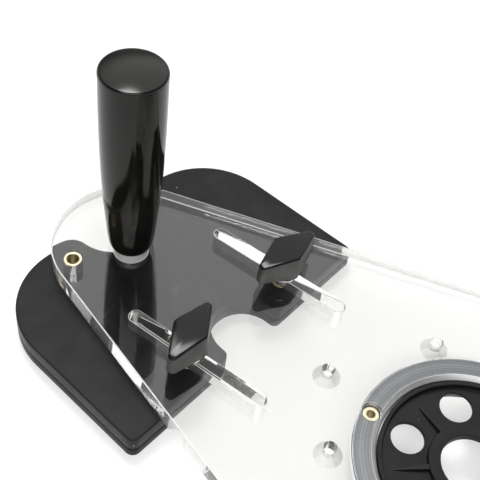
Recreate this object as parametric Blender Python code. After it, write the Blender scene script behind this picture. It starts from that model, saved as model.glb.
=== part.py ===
"""Offset router base plate.

A clear acrylic base carries a router over its wide end and a hand grip over
its narrow end. A two-layer stabiliser foot slides under the grip end and is
held by two clamp knobs, whose studs pass through two parallel slots. A moulded
guide disc drops into a metal ring around the router opening.

Lengths are in metres and angles in degrees. +X runs from the grip to the
router, +Z is up, and the foot stands on Z = 0.
"""

import math
from collections import namedtuple

import bmesh
import bpy
from mathutils import Matrix, Vector

# Shared clearances
gap = 0.0003
overrun = 0.002

# Facets of a full turn
fine_steps = 72
round_steps = 32
small_steps = 20
half_steps = small_steps // 2
quarter_steps = small_steps // 4

# Base plate
plate_thickness = 0.0127
plate_edge_round = 0.0006
grip_end_radius = 0.0454
router_end_radius = 0.1116
centre_distance = 0.2224

# Adjusting slots, measured along the plate from the grip axis
slot_start = 0.0316
slot_end = 0.1220
slot_width = 0.0085
slot_spacing = 0.0770

# Ring around the guide disc
ring_clearance = 0.0006
ring_bevel_width = 0.0025
ring_land_width = 0.0100
ring_thickness = 0.0065
ring_bevel_depth = 0.0022
ring_edge_round = 0.0003
ring_insert_count = 4
ring_insert_edge = 0.0057
ring_insert_phase = -172.5
ring_insert_radius = 0.0046
ring_insert_bore_radius = 0.0022
ring_counterbore_radius = 0.0053
ring_counterbore_depth = 0.0025

# Countersunk holes for router screws, as distance outside the ring and bearing from its centre
near_hole_reach = 0.0108
near_hole_bearings = (133.0, -148.0, 13.0, -107.0, 93.0, -28.0)
far_hole_reach = 0.0251
far_hole_bearings = (180.0, 60.0, -60.0)
router_hole_radius = 0.0036
countersink_radius = 0.0076
countersink_depth = 0.0052

# Threaded fittings
thread_radius = 0.003175
insert_radius = 0.0053
insert_rim = 0.0005
plate_insert_along = -0.0168
plate_insert_across = 0.0306

# Guide disc
disc_radius = 0.0486
disc_ledge_width = 0.0031
disc_drop = 0.0016
disc_web_thickness = 0.0020
disc_lip_width = 0.0024
disc_edge_round = 0.0004
disc_hub_radius = 0.0227
disc_bore_radius = 0.0164
disc_window_count = 6
disc_window_radius = 0.0088
disc_window_pitch_radius = 0.0343
disc_window_phase = 130.5
gusset_width = 0.0022
gusset_end_radius = 0.0405
gusset_tip_height = 0.0002

# Hand grip
grip_length = 0.1244
grip_neck_radius = 0.0129
grip_radius = 0.0174
grip_crown_height = 0.0042
grip_height_shares = (0.0, 0.05, 0.12, 0.25, 0.37, 0.5, 0.68, 0.83)
grip_swell_shares = (0.0, 0.16, 0.30, 0.56, 0.74, 0.87, 0.97, 1.0)
collar_radius = 0.0118
collar_height = 0.0031
collar_edge_round = 0.0008
grip_insert_radius = 0.0055
grip_insert_length = 0.0220
grip_screw_reach = 0.0180
grip_pocket_radius = 0.0111
grip_pocket_depth = 0.0102
screw_head_radius = 0.0085
screw_head_height = 0.0050
hex_key_across = 0.0040
hex_key_depth = 0.0022

# Stabiliser foot, in its own frame: the grip end is behind, the straight edge in front
foot_upper_thickness = 0.0095
foot_lower_thickness = 0.0068
foot_edge_round = 0.0008
lobe_along = 0.0128
lobe_across = 0.0444
lobe_radius = 0.0456
foot_flare = 1.5
foot_corner_radius = 0.0050
notch_setback = 0.0057
notch_radius = 0.0200
notch_corner_radius = 0.0040
dip_along = -0.0230
dip_radius = 0.0240
dip_corner_radius = 0.0110
stud_along = 0.0761
stud_setback = 0.0136
foot_skew = -6.2
layer_screw_places_share = ((0.02, 0.88), (-0.10, 0.30), (0.92, 0.86), (0.45, 0.45))
layer_screw_radius = 0.0021
layer_screw_head_radius = 0.0041
layer_screw_head_height = 0.0024
layer_screw_reach = 0.0055

# Clamp knobs and studs
left_stud_along = 0.0716
knob_half_length = 0.0265
knob_half_width = 0.0106
knob_corner_radius = 0.0032
knob_height = 0.0192
knob_draft = 0.0005
knob_crown = 0.0012
knob_wing_rise = 0.0058
knob_edge_round = 0.0009
knob_hub_radius = 0.0072
knob_hub_height = 0.0016
knob_ring_shares = (0.35, 0.7)
knob_left_bearing = 98.6
knob_right_bearing = 78.7
washer_radius = 0.0085
washer_thickness = 0.0015
stud_embed = 0.0120
stud_tip_chamfer = 0.0006

# Places that follow from the sizes above
foot_height = foot_upper_thickness + foot_lower_thickness
plate_bottom = foot_height + gap
plate_top = plate_bottom + plate_thickness
plate_length = grip_end_radius + centre_distance + router_end_radius
grip_x = grip_end_radius - plate_length / 2
router_x = plate_length / 2 - router_end_radius
side_angle = math.degrees(math.asin((router_end_radius - grip_end_radius) / centre_distance))
foot_front = stud_along + stud_setback
notch_along = foot_front - notch_setback
stud_spacing = slot_spacing / math.cos(math.radians(foot_skew))
tapped_radius = thread_radius + gap
disc_thickness = ring_thickness - disc_drop
opening_radius = disc_radius - disc_ledge_width
ring_inner_radius = disc_radius + ring_clearance
ring_bevel_radius = ring_inner_radius + ring_bevel_width
ring_outer_radius = ring_bevel_radius + ring_land_width
ring_insert_pitch_radius = ring_outer_radius - ring_insert_edge
near_hole_radius = ring_outer_radius + near_hole_reach
far_hole_radius = ring_outer_radius + far_hole_reach

Arc = namedtuple("Arc", "x y radius start sweep steps")
Arc.__doc__ = "A round stretch of an outline. A positive sweep bulges outwards."


def clear_scene():
    """Remove every object that the scene starts with."""
    for item in list(bpy.data.objects):
        bpy.data.objects.remove(item, do_unlink=True)


def make_material(name, colour, roughness, metallic=0.0, transmission=0.0):
    """Return a Principled material."""
    material = bpy.data.materials.new(name)
    material.use_nodes = True
    shader = material.node_tree.nodes["Principled BSDF"]
    shader.inputs["Base Color"].default_value = (*colour, 1.0)
    shader.inputs["Roughness"].default_value = roughness
    shader.inputs["Metallic"].default_value = metallic
    shader.inputs["Transmission Weight"].default_value = transmission
    return material


def trace(arcs, inset=0.0):
    """Return the outline's points, moved inwards by the inset."""
    points = []
    for arc in arcs:
        radius = arc.radius - math.copysign(inset, arc.sweep)
        for step in range(arc.steps + 1):
            angle = math.radians(arc.start + arc.sweep * step / arc.steps)
            points.append((arc.x + radius * math.cos(angle), arc.y + radius * math.sin(angle)))
    return points


def eased_levels(low, high, ease, steps=1):
    """Return (inset, height) pairs for a slab whose two rims are rounded."""
    rim = []
    for step in range(steps + 1):
        angle = math.radians(90 * step / steps)
        rim.append((ease * (1 - math.sin(angle)), ease * (1 - math.cos(angle))))
    lower = [(inset, low + rise) for inset, rise in rim]
    upper = [(inset, high - rise) for inset, rise in reversed(rim)]
    return lower + upper


def finish_object(name, mesh_data, material, smooth_angle=35):
    """Turn a bmesh into a named object with outward faces and smooth round sides."""
    bmesh.ops.recalc_face_normals(mesh_data, faces=mesh_data.faces)
    mesh = bpy.data.meshes.new(name)
    mesh_data.to_mesh(mesh)
    mesh_data.free()
    mesh.shade_smooth()
    mesh.set_sharp_from_angle(angle=math.radians(smooth_angle))
    item = bpy.data.objects.new(name, mesh)
    bpy.context.scene.collection.objects.link(item)
    if material is not None:
        mesh.materials.append(material)
    return item


def add_stack(mesh_data, arcs, levels):
    """Add a closed solid whose outline shrinks by each level's inset."""
    rings = []
    for inset, height in levels:
        rings.append([mesh_data.verts.new((x, y, height)) for x, y in trace(arcs, inset)])
    for lower, upper in zip(rings, rings[1:]):
        for index in range(len(lower)):
            following = (index + 1) % len(lower)
            mesh_data.faces.new((lower[index], lower[following], upper[following], upper[index]))
    mesh_data.faces.new(list(reversed(rings[0])))
    mesh_data.faces.new(rings[-1])


def add_turning(mesh_data, profile, steps, centre=(0.0, 0.0)):
    """Add a solid turned about Z. The profile is a closed loop, or starts and ends on the axis."""
    solid = profile[0][0] == 0.0
    rings = []
    for radius, height in profile:
        if radius == 0.0:
            rings.append([mesh_data.verts.new((*centre, height))])
            continue
        ring = []
        for step in range(steps):
            angle = 2 * math.pi * step / steps
            place = (centre[0] + radius * math.cos(angle), centre[1] + radius * math.sin(angle))
            ring.append(mesh_data.verts.new((*place, height)))
        rings.append(ring)
    pairs = list(zip(rings, rings[1:]))
    if not solid:
        pairs.append((rings[-1], rings[0]))
    for first, second in pairs:
        for step in range(steps):
            following = (step + 1) % steps
            corners = [first[step % len(first)], first[following % len(first)]]
            corners += [second[following % len(second)], second[step % len(second)]]
            corners = list(dict.fromkeys(corners))
            if len(corners) > 2:
                mesh_data.faces.new(corners)


def make_stack(name, arcs, levels, material=None):
    """Make an object from one stacked outline."""
    mesh_data = bmesh.new()
    add_stack(mesh_data, arcs, levels)
    return finish_object(name, mesh_data, material)


def make_turnings(name, profile, steps, centres=((0.0, 0.0),), material=None):
    """Make one object that holds the same turning at each centre."""
    mesh_data = bmesh.new()
    for centre in centres:
        add_turning(mesh_data, profile, steps, centre)
    return finish_object(name, mesh_data, material)


def place(item, x=0.0, y=0.0, z=0.0, turn=0.0, parent=None):
    """Set an object's place, turn and parent."""
    item.location = (x, y, z)
    item.rotation_euler = (0.0, 0.0, math.radians(turn))
    item.parent = parent
    return item


def cut(item, cutter, operation="DIFFERENCE"):
    """Add a Boolean that the cutter drives, and hide the cutter."""
    cutter.hide_render = True
    cutter.display_type = "WIRE"
    modifier = item.modifiers.new(cutter.name, "BOOLEAN")
    modifier.operation = operation
    modifier.solver = "EXACT"
    modifier.object = cutter
    return cutter


def around(count, radius, phase):
    """Return evenly spaced places on a circle."""
    bearings = [phase + 360 * index / count for index in range(count)]
    return bearing_places(radius, bearings)


def bearing_places(radius, bearings):
    """Return the places on a circle at the bearings, in degrees."""
    return [(radius * math.cos(math.radians(b)), radius * math.sin(math.radians(b))) for b in bearings]


def shift_places(places, x, y=0.0):
    """Return the places moved along X and Y."""
    return [(place_x + x, place_y + y) for place_x, place_y in places]


def plate_arcs():
    """Return the teardrop outline of the plate."""
    meet = 90 + side_angle
    return [
        Arc(grip_x, 0.0, grip_end_radius, meet, 360 - 2 * meet, round_steps),
        Arc(router_x, 0.0, router_end_radius, -meet, 2 * meet, fine_steps),
    ]


def slot_arcs(y):
    """Return the outline of one adjusting slot."""
    radius = slot_width / 2
    return [
        Arc(grip_x + slot_start + radius, y, radius, 90, 180, half_steps),
        Arc(grip_x + slot_end - radius, y, radius, -90, 180, half_steps),
    ]


def insert_profile(low, high, outer, bore):
    """Return the section of a threaded insert, with its rims eased."""
    return [
        (bore, low),
        (outer - insert_rim, low),
        (outer, low + insert_rim),
        (outer, high - insert_rim),
        (outer - insert_rim, high),
        (bore, high),
    ]


def flat_head_profile(low, head_radius, head_height, shank_radius, reach):
    """Return the section of a flat-head screw whose head is at the bottom."""
    return [
        (0.0, low),
        (head_radius, low),
        (shank_radius, low + head_height),
        (shank_radius, low + reach),
        (0.0, low + reach),
    ]


def flat_head_seat(low, head_radius, head_height, shank_radius, reach):
    """Return the section of the hole for such a screw, with clearance all round."""
    slope_gap = gap * math.sqrt(2)
    return [
        (0.0, low - overrun),
        (head_radius + slope_gap, low - overrun),
        (head_radius + slope_gap, low),
        (shank_radius + gap, low + head_height + slope_gap),
        (shank_radius + gap, low + reach),
        (0.0, low + reach),
    ]


def bore_profile(radius, low, high):
    """Return the section of a plain bore."""
    return [(0.0, low), (radius, low), (radius, high), (0.0, high)]


def make_base_plate(material):
    """Make the clear plate with its slots, opening and holes."""
    plate = make_stack(
        "base_plate", plate_arcs(), eased_levels(plate_bottom, plate_top, plate_edge_round), material
    )
    low = plate_bottom - overrun
    high = plate_top + overrun
    for side, sign in (("left", -1), ("right", 1)):
        slot = slot_arcs(sign * slot_spacing / 2)
        cut(plate, make_stack(f"slot_cut_{side}", slot, [(0.0, low), (0.0, high)]))
    recess_floor = plate_top - ring_thickness - gap
    opening = [
        (0.0, low),
        (opening_radius, low),
        (opening_radius, recess_floor),
        (ring_outer_radius + gap, recess_floor),
        (ring_outer_radius + gap, high),
        (0.0, high),
    ]
    cut(plate, make_turnings("opening_cut", opening, fine_steps, ((router_x, 0.0),)))
    countersink = [
        (0.0, low),
        (countersink_radius, low),
        (countersink_radius, plate_bottom),
        (router_hole_radius, plate_bottom + countersink_depth),
        (router_hole_radius, high),
        (0.0, high),
    ]
    router_holes = bearing_places(near_hole_radius, near_hole_bearings)
    router_holes += bearing_places(far_hole_radius, far_hole_bearings)
    places = shift_places(router_holes, router_x)
    cut(plate, make_turnings("router_hole_cut", countersink, small_steps, places))
    grip_pocket = [
        (0.0, low),
        (grip_pocket_radius, low),
        (grip_pocket_radius, plate_bottom + grip_pocket_depth),
        (tapped_radius, plate_bottom + grip_pocket_depth),
        (tapped_radius, high),
        (0.0, high),
    ]
    cut(plate, make_turnings("grip_screw_cut", grip_pocket, small_steps, ((grip_x, 0.0),)))
    insert_seat = bore_profile(insert_radius + gap, low, high)
    insert_x = grip_x + plate_insert_along
    places = [(insert_x, -plate_insert_across), (insert_x, plate_insert_across)]
    cut(plate, make_turnings("plate_insert_cut", insert_seat, small_steps, places))
    insert_seat = bore_profile(ring_insert_radius + gap, low, high)
    places = shift_places(ring_insert_places(), router_x)
    cut(plate, make_turnings("ring_insert_cut", insert_seat, small_steps, places))
    return plate


def ring_insert_places():
    """Return the places of the ring's inserts from the opening's centre."""
    return around(ring_insert_count, ring_insert_pitch_radius, ring_insert_phase)


def make_opening_ring(material):
    """Make the metal ring that lines the router opening."""
    low = -ring_thickness
    profile = [
        (ring_inner_radius, low),
        (ring_outer_radius - ring_edge_round, low),
        (ring_outer_radius, low + ring_edge_round),
        (ring_outer_radius, -ring_edge_round),
        (ring_outer_radius - ring_edge_round, 0.0),
        (ring_bevel_radius, 0.0),
        (ring_inner_radius, -ring_bevel_depth),
    ]
    ring = make_turnings("opening_ring", profile, fine_steps, material=material)
    counterbore = [
        (0.0, low - overrun),
        (ring_insert_radius + gap, low - overrun),
        (ring_insert_radius + gap, -ring_counterbore_depth),
        (ring_counterbore_radius, -ring_counterbore_depth),
        (ring_counterbore_radius, overrun),
        (0.0, overrun),
    ]
    cutter = make_turnings("ring_counterbore_cut", counterbore, small_steps, ring_insert_places())
    place(cut(ring, cutter), router_x, 0.0, plate_top)
    return place(ring, router_x, 0.0, plate_top)


def make_base_inserts(material):
    """Make the brass inserts of the plate and of its ring."""
    profile = insert_profile(gap - plate_thickness, -gap, insert_radius, tapped_radius)
    for side, sign in (("left", -1), ("right", 1)):
        item = make_turnings(f"plate_insert_{side}", profile, small_steps, material=material)
        place(item, grip_x + plate_insert_along, sign * plate_insert_across, plate_top)
    top = -ring_counterbore_depth - gap
    profile = insert_profile(gap - plate_thickness, top, ring_insert_radius, ring_insert_bore_radius)
    for number, (x, y) in enumerate(ring_insert_places(), 1):
        item = make_turnings(f"ring_insert_{number}", profile, small_steps, material=material)
        place(item, router_x + x, y, plate_top)


def make_guide_disc(material):
    """Make the moulded disc with its windows, hub and gussets."""
    low = -disc_thickness
    web_top = low + disc_web_thickness
    lip_inner = disc_radius - disc_lip_width
    profile = [
        (disc_bore_radius, low),
        (disc_radius - disc_edge_round, low),
        (disc_radius, low + disc_edge_round),
        (disc_radius, -disc_edge_round),
        (disc_radius - disc_edge_round, 0.0),
        (lip_inner + disc_edge_round, 0.0),
        (lip_inner, -disc_edge_round),
        (lip_inner, web_top),
        (disc_hub_radius, web_top),
        (disc_hub_radius, -disc_edge_round),
        (disc_hub_radius - disc_edge_round, 0.0),
        (disc_bore_radius + disc_edge_round, 0.0),
        (disc_bore_radius, -disc_edge_round),
    ]
    level = plate_top - disc_drop
    disc = make_turnings("guide_disc", profile, fine_steps, material=material)
    gussets = make_gussets(web_top)
    windows = around(disc_window_count, disc_window_pitch_radius, disc_window_phase)
    window = bore_profile(disc_window_radius, low - overrun, web_top + overrun)
    cutter = make_turnings("disc_window_cut", window, round_steps, windows)
    for tool, operation in ((gussets, "UNION"), (cutter, "DIFFERENCE")):
        place(cut(disc, tool, operation), router_x, 0.0, level)
    return place(disc, router_x, 0.0, level)


def make_gussets(web_top):
    """Make the thin ribs that slope from the hub down to the web."""
    mesh_data = bmesh.new()
    inner = (disc_bore_radius + disc_hub_radius) / 2
    root = web_top - disc_web_thickness / 2
    section = [
        (inner, root),
        (gusset_end_radius, root),
        (gusset_end_radius, web_top + gusset_tip_height),
        (disc_hub_radius, -disc_edge_round),
        (inner, -disc_edge_round),
    ]
    for index in range(disc_window_count):
        bearing = math.radians(disc_window_phase + 360 * (index + 1 / 2) / disc_window_count)
        turn = Matrix.Rotation(bearing, 3, "Z")
        sides = []
        for y in (-gusset_width / 2, gusset_width / 2):
            sides.append([mesh_data.verts.new(turn @ Vector((x, y, z))) for x, z in section])
        near, far = sides
        mesh_data.faces.new(near)
        mesh_data.faces.new(list(reversed(far)))
        for corner in range(len(section)):
            following = (corner + 1) % len(section)
            mesh_data.faces.new((near[corner], far[corner], far[following], near[following]))
    return finish_object("gusset_join", mesh_data, None)


def make_grip(materials):
    """Make the hand grip, its collar, its insert and the screw that holds it."""
    collar = [
        (tapped_radius, gap),
        (collar_radius - collar_edge_round, gap),
        (collar_radius, gap + collar_edge_round),
        (collar_radius, collar_height - collar_edge_round),
        (collar_radius - collar_edge_round, collar_height),
        (tapped_radius, collar_height),
    ]
    item = make_turnings("grip_collar", collar, round_steps, material=materials["steel"])
    place(item, grip_x, 0.0, plate_top)
    foot_level = collar_height + gap
    straight = grip_length - grip_crown_height
    swell = grip_radius - grip_neck_radius
    bore_top = foot_level + grip_insert_length + gap
    profile = [(0.0, bore_top), (grip_insert_radius + gap, bore_top), (grip_insert_radius + gap, foot_level)]
    profile.append((grip_neck_radius - collar_edge_round, foot_level))
    for height_share, swell_share in zip(grip_height_shares, grip_swell_shares):
        height = foot_level + collar_edge_round + height_share * (straight - collar_edge_round)
        profile.append((grip_neck_radius + swell * swell_share, height))
    profile.append((grip_radius, foot_level + straight))
    profile += grip_crown(foot_level + straight)
    grip = make_turnings("hand_grip", profile, round_steps, material=materials["gloss_black"])
    place(grip, grip_x, 0.0, plate_top)
    low = foot_level + gap
    high = foot_level + grip_insert_length
    profile = insert_profile(low, high, grip_insert_radius, tapped_radius)
    item = make_turnings("grip_insert", profile, small_steps, material=materials["brass"])
    place(item, grip_x, 0.0, plate_top)
    head_top = grip_pocket_depth - gap
    head_low = head_top - screw_head_height
    reach = plate_thickness + foot_level + grip_screw_reach
    profile = [
        (0.0, head_low),
        (screw_head_radius, head_low),
        (screw_head_radius, head_top),
        (thread_radius, head_top),
        (thread_radius, reach),
        (0.0, reach),
    ]
    screw = make_turnings("grip_screw", profile, small_steps, material=materials["steel"])
    hex_radius = hex_key_across / math.sqrt(3)
    hex_socket = bore_profile(hex_radius, head_low - overrun, head_low + hex_key_depth)
    place(cut(screw, make_turnings("grip_screw_key_cut", hex_socket, 6)), grip_x, 0.0, plate_bottom)
    place(screw, grip_x, 0.0, plate_bottom)


def grip_crown(level):
    """Return the section of the grip's rounded crown."""
    profile = []
    crown_steps = 9
    for step in range(1, crown_steps):
        angle = math.radians(90 * step / crown_steps)
        profile.append((grip_radius * math.cos(angle), level + grip_crown_height * math.sin(angle)))
    profile.append((0.0, level + grip_crown_height))
    return profile


def circle_meeting(first, second, upper=True):
    """Return where two circles, given as (x, y, radius), cross."""
    x_1, y_1, radius_1 = first
    x_2, y_2, radius_2 = second
    distance = math.hypot(x_2 - x_1, y_2 - y_1)
    along = (distance ** 2 + radius_1 ** 2 - radius_2 ** 2) / (2 * distance)
    across = math.sqrt(radius_1 ** 2 - along ** 2)
    sign = 1 if upper else -1
    unit_x = (x_2 - x_1) / distance
    unit_y = (y_2 - y_1) / distance
    return (
        x_1 + along * unit_x - sign * across * unit_y,
        y_1 + along * unit_y + sign * across * unit_x,
    )


def bearing(origin, target):
    """Return the bearing of one point from another, in degrees."""
    return math.degrees(math.atan2(target[1] - origin[1], target[0] - origin[0]))


def foot_arcs():
    """Return the foot's outline, counted from the left stud."""
    half = foot_half_arcs()
    mirrored = []
    for arc in reversed(half):
        mirrored.append(arc._replace(y=-arc.y, start=-(arc.start + arc.sweep)))
    arcs = mirrored + half
    shift_y = stud_spacing / 2
    return [arc._replace(x=arc.x - stud_along, y=arc.y + shift_y) for arc in arcs]


def foot_half_arcs():
    """Return the arcs of the foot's +Y half, from the notch round to the dip behind."""
    flare = math.radians(foot_flare)
    side_x = lobe_along - lobe_radius * math.sin(flare)
    side_y = lobe_across + lobe_radius * math.cos(flare)
    corner_x = foot_front - foot_corner_radius
    corner_y = side_y + (corner_x - side_x) * math.tan(flare) - foot_corner_radius / math.cos(flare)
    inner_x = foot_front - notch_corner_radius
    inner_y = notch_radius + notch_corner_radius
    lobe = (lobe_along, lobe_across)
    dip = (dip_along, 0.0)
    ease = circle_meeting(
        (*dip, dip_radius + dip_corner_radius), (*lobe, lobe_radius - dip_corner_radius), upper=True
    )
    leave = bearing(lobe, ease) % 360
    turn_end = (bearing(ease, dip)) % 360
    dip_start = bearing(dip, ease)
    return [
        Arc(notch_along, 0.0, notch_radius, 180, -90, half_steps),
        Arc(inner_x, inner_y, notch_corner_radius, -90, 90, quarter_steps),
        Arc(corner_x, corner_y, foot_corner_radius, 0, 90 + foot_flare, quarter_steps),
        Arc(*lobe, lobe_radius, 90 + foot_flare, leave - 90 - foot_flare, round_steps // 2),
        Arc(*ease, dip_corner_radius, leave, turn_end - leave, quarter_steps),
        Arc(*dip, dip_radius, dip_start, -dip_start, quarter_steps),
    ]


def layer_screw_places():
    """Return the places of the screws that join the foot's layers, from the left stud."""
    half_width = lobe_across + lobe_radius
    places = []
    for along_share, across_share in layer_screw_places_share:
        for sign in (-1, 1):
            x = along_share * foot_front - stud_along
            y = sign * across_share * half_width + stud_spacing / 2
            places.append((x, y))
    return places


def make_foot(materials, pivot):
    """Make the two layers of the foot, their screws and the stud inserts."""
    outline = foot_arcs()
    stud_places = [(0.0, 0.0), (0.0, stud_spacing)]
    upper = make_stack(
        "foot_upper_plate",
        outline,
        eased_levels(foot_lower_thickness, foot_height, foot_edge_round),
        materials["satin_black"],
    )
    lower = make_stack(
        "foot_lower_plate",
        outline,
        eased_levels(0.0, foot_lower_thickness - gap, foot_edge_round),
        materials["satin_black"],
    )
    stud_seat = bore_profile(insert_radius + gap, foot_lower_thickness - overrun, foot_height + overrun)
    cutter = make_turnings("stud_insert_cut", stud_seat, small_steps, stud_places)
    place(cut(upper, cutter), parent=pivot)
    reach = foot_lower_thickness + layer_screw_reach
    sizes = (layer_screw_head_radius, layer_screw_head_height, layer_screw_radius)
    screw_seat = flat_head_seat(gap, *sizes, reach + gap)
    places = layer_screw_places()
    for item, side in ((upper, "upper"), (lower, "lower")):
        cutter = make_turnings(f"layer_screw_cut_{side}", screw_seat, small_steps, places)
        place(cut(item, cutter), parent=pivot)
        place(item, parent=pivot)
    screw = flat_head_profile(gap, *sizes, reach - gap)
    for number, (x, y) in enumerate(places, 1):
        item = make_turnings(f"foot_screw_{number}", screw, small_steps, material=materials["steel"])
        place(item, x, y, parent=pivot)
    low = foot_lower_thickness + gap
    profile = insert_profile(low, foot_height - gap, insert_radius, tapped_radius)
    for side, y in (("left", 0.0), ("right", stud_spacing)):
        item = make_turnings(f"stud_insert_{side}", profile, small_steps, material=materials["brass"])
        place(item, 0.0, y, parent=pivot)


def knob_arcs():
    """Return the rhombus outline of a clamp knob, long side along X."""
    edge = math.hypot(knob_half_length, knob_half_width)
    tip_angle = math.degrees(math.atan2(knob_half_width, knob_half_length))
    tip_back = knob_corner_radius * edge / knob_half_width
    side_back = knob_corner_radius * edge / knob_half_length
    tip = knob_half_length - tip_back
    side = knob_half_width - side_back
    tip_turn = 180 - 2 * tip_angle
    side_turn = 2 * tip_angle
    steps = quarter_steps
    return [
        Arc(tip, 0.0, knob_corner_radius, -tip_turn / 2, tip_turn, steps),
        Arc(0.0, side, knob_corner_radius, 90 - side_turn / 2, side_turn, steps),
        Arc(-tip, 0.0, knob_corner_radius, 180 - tip_turn / 2, tip_turn, steps),
        Arc(0.0, -side, knob_corner_radius, 270 - side_turn / 2, side_turn, steps),
    ]


def add_knob_body(mesh_data, low, high):
    """Add the knob's wing: crowned above, wider below, with an underside that rises to its tips."""
    outline = knob_arcs()
    ease_steps = 2
    eases = []
    for step in range(ease_steps + 1):
        angle = math.radians(90 * step / ease_steps)
        eases.append((knob_edge_round * (1 - math.sin(angle)), knob_edge_round * (1 - math.cos(angle))))

    def under(x, lift=0.0):
        return low + knob_wing_rise * (x / knob_half_length) ** 2 + lift

    def over(x, drop=0.0):
        return high - knob_crown * (x / knob_half_length) ** 2 - drop

    rings = []
    for share in knob_ring_shares:
        points = [(x * share, y * share) for x, y in trace(outline, knob_edge_round)]
        rings.append([mesh_data.verts.new((x, y, under(x))) for x, y in points])
    for inset, lift in eases:
        rings.append([mesh_data.verts.new((x, y, under(x, lift))) for x, y in trace(outline, inset)])
    for inset, drop in reversed(eases):
        points = trace(outline, knob_draft + inset)
        rings.append([mesh_data.verts.new((x, y, over(x, drop))) for x, y in points])
    for share in reversed(knob_ring_shares):
        points = [(x * share, y * share) for x, y in trace(outline, knob_draft + knob_edge_round)]
        rings.append([mesh_data.verts.new((x, y, over(x))) for x, y in points])
    for lower, upper in zip(rings, rings[1:]):
        for index in range(len(lower)):
            following = (index + 1) % len(lower)
            mesh_data.faces.new((lower[index], lower[following], upper[following], upper[index]))
    for ring, height in ((rings[0], low), (rings[-1], high)):
        centre = mesh_data.verts.new((0.0, 0.0, height))
        for index in range(len(ring)):
            mesh_data.faces.new((ring[index], ring[(index + 1) % len(ring)], centre))


def make_clamp(side, y, turn, materials, pivot):
    """Make one clamp: knob, stud and washer, about the stud's axis."""
    washer_low = plate_top + gap
    washer_high = washer_low + washer_thickness
    washer = [
        (tapped_radius, washer_low),
        (washer_radius, washer_low),
        (washer_radius, washer_high),
        (tapped_radius, washer_high),
    ]
    item = make_turnings(f"clamp_washer_{side}", washer, round_steps, material=materials["steel"])
    place(item, 0.0, y, parent=pivot)
    hub_low = washer_high + gap
    body_low = hub_low + knob_hub_height
    mesh_data = bmesh.new()
    add_knob_body(mesh_data, body_low, hub_low + knob_height)
    knob = finish_object(f"clamp_knob_{side}", mesh_data, materials["gloss_black"])
    hub = bore_profile(knob_hub_radius, hub_low, body_low + overrun)
    hub_join = make_turnings(f"knob_hub_join_{side}", hub, round_steps)
    place(cut(knob, hub_join, "UNION"), 0.0, y, turn=turn, parent=pivot)
    stud_top = hub_low + stud_embed
    seat = bore_profile(tapped_radius, hub_low - overrun, stud_top + gap)
    seat_cut = make_turnings(f"knob_bore_cut_{side}", seat, small_steps)
    place(cut(knob, seat_cut), 0.0, y, turn=turn, parent=pivot)
    place(knob, 0.0, y, turn=turn, parent=pivot)
    stud_low = foot_lower_thickness + gap
    stud = [
        (0.0, stud_low),
        (thread_radius - stud_tip_chamfer, stud_low),
        (thread_radius, stud_low + stud_tip_chamfer),
        (thread_radius, stud_top),
        (0.0, stud_top),
    ]
    item = make_turnings(f"clamp_stud_{side}", stud, small_steps, material=materials["steel"])
    place(item, 0.0, y, turn=turn, parent=pivot)


def make_materials():
    """Make the part's materials."""
    return {
        "acrylic": make_material("clear_acrylic", (0.92, 0.94, 0.92), 0.04, transmission=1.0),
        "satin_black": make_material("satin_black_sheet", (0.022, 0.022, 0.024), 0.42),
        "gloss_black": make_material("gloss_black_plastic", (0.012, 0.012, 0.012), 0.14),
        "moulded_black": make_material("moulded_black_plastic", (0.02, 0.021, 0.023), 0.38),
        "ring_metal": make_material("machined_aluminium", (0.42, 0.43, 0.44), 0.34, 1.0),
        "steel": make_material("plated_steel", (0.62, 0.62, 0.63), 0.25, 1.0),
        "brass": make_material("brass", (0.78, 0.62, 0.30), 0.3, 1.0),
    }


def main():
    """Build the whole part."""
    clear_scene()
    materials = make_materials()
    make_base_plate(materials["acrylic"])
    make_opening_ring(materials["ring_metal"])
    make_base_inserts(materials["brass"])
    make_guide_disc(materials["moulded_black"])
    make_grip(materials)
    pivot = bpy.data.objects.new("foot_pivot", None)
    bpy.context.scene.collection.objects.link(pivot)
    place(pivot, grip_x + left_stud_along, -slot_spacing / 2, 0.0, foot_skew)
    make_foot(materials, pivot)
    make_clamp("left", 0.0, knob_left_bearing - foot_skew, materials, pivot)
    make_clamp("right", stud_spacing, knob_right_bearing - foot_skew, materials, pivot)


main()
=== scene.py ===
"""Looks of an offset router base plate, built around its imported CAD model.

The clear plate, its ring, the moulded disc, the hand grip, the two-layer foot
and the clamps are rebuilt here at a finer resolution, inside the solids that
they stand for, and each gets a procedural finish.

Lengths are in metres and angles in degrees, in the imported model's frame.
"""

import logging
import math
from abc import ABC, abstractmethod
from dataclasses import dataclass, field, replace
from enum import Enum
from typing import Iterable, Optional, Sequence

import bmesh
import bpy
from mathutils import Matrix, Vector


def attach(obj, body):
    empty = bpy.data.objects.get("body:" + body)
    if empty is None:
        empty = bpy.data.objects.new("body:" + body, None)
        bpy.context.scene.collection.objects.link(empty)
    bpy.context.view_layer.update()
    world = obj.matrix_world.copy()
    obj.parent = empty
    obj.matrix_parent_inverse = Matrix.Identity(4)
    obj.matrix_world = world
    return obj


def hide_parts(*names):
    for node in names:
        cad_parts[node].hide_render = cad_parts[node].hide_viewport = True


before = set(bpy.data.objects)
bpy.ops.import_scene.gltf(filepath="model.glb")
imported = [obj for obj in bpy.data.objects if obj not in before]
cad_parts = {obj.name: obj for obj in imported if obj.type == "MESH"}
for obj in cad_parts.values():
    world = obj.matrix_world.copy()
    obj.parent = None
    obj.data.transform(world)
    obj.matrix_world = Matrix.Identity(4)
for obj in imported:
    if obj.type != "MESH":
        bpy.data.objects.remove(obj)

logging.basicConfig(level=logging.INFO, format="%(message)s")
log = logging.getLogger("router_base")

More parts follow.
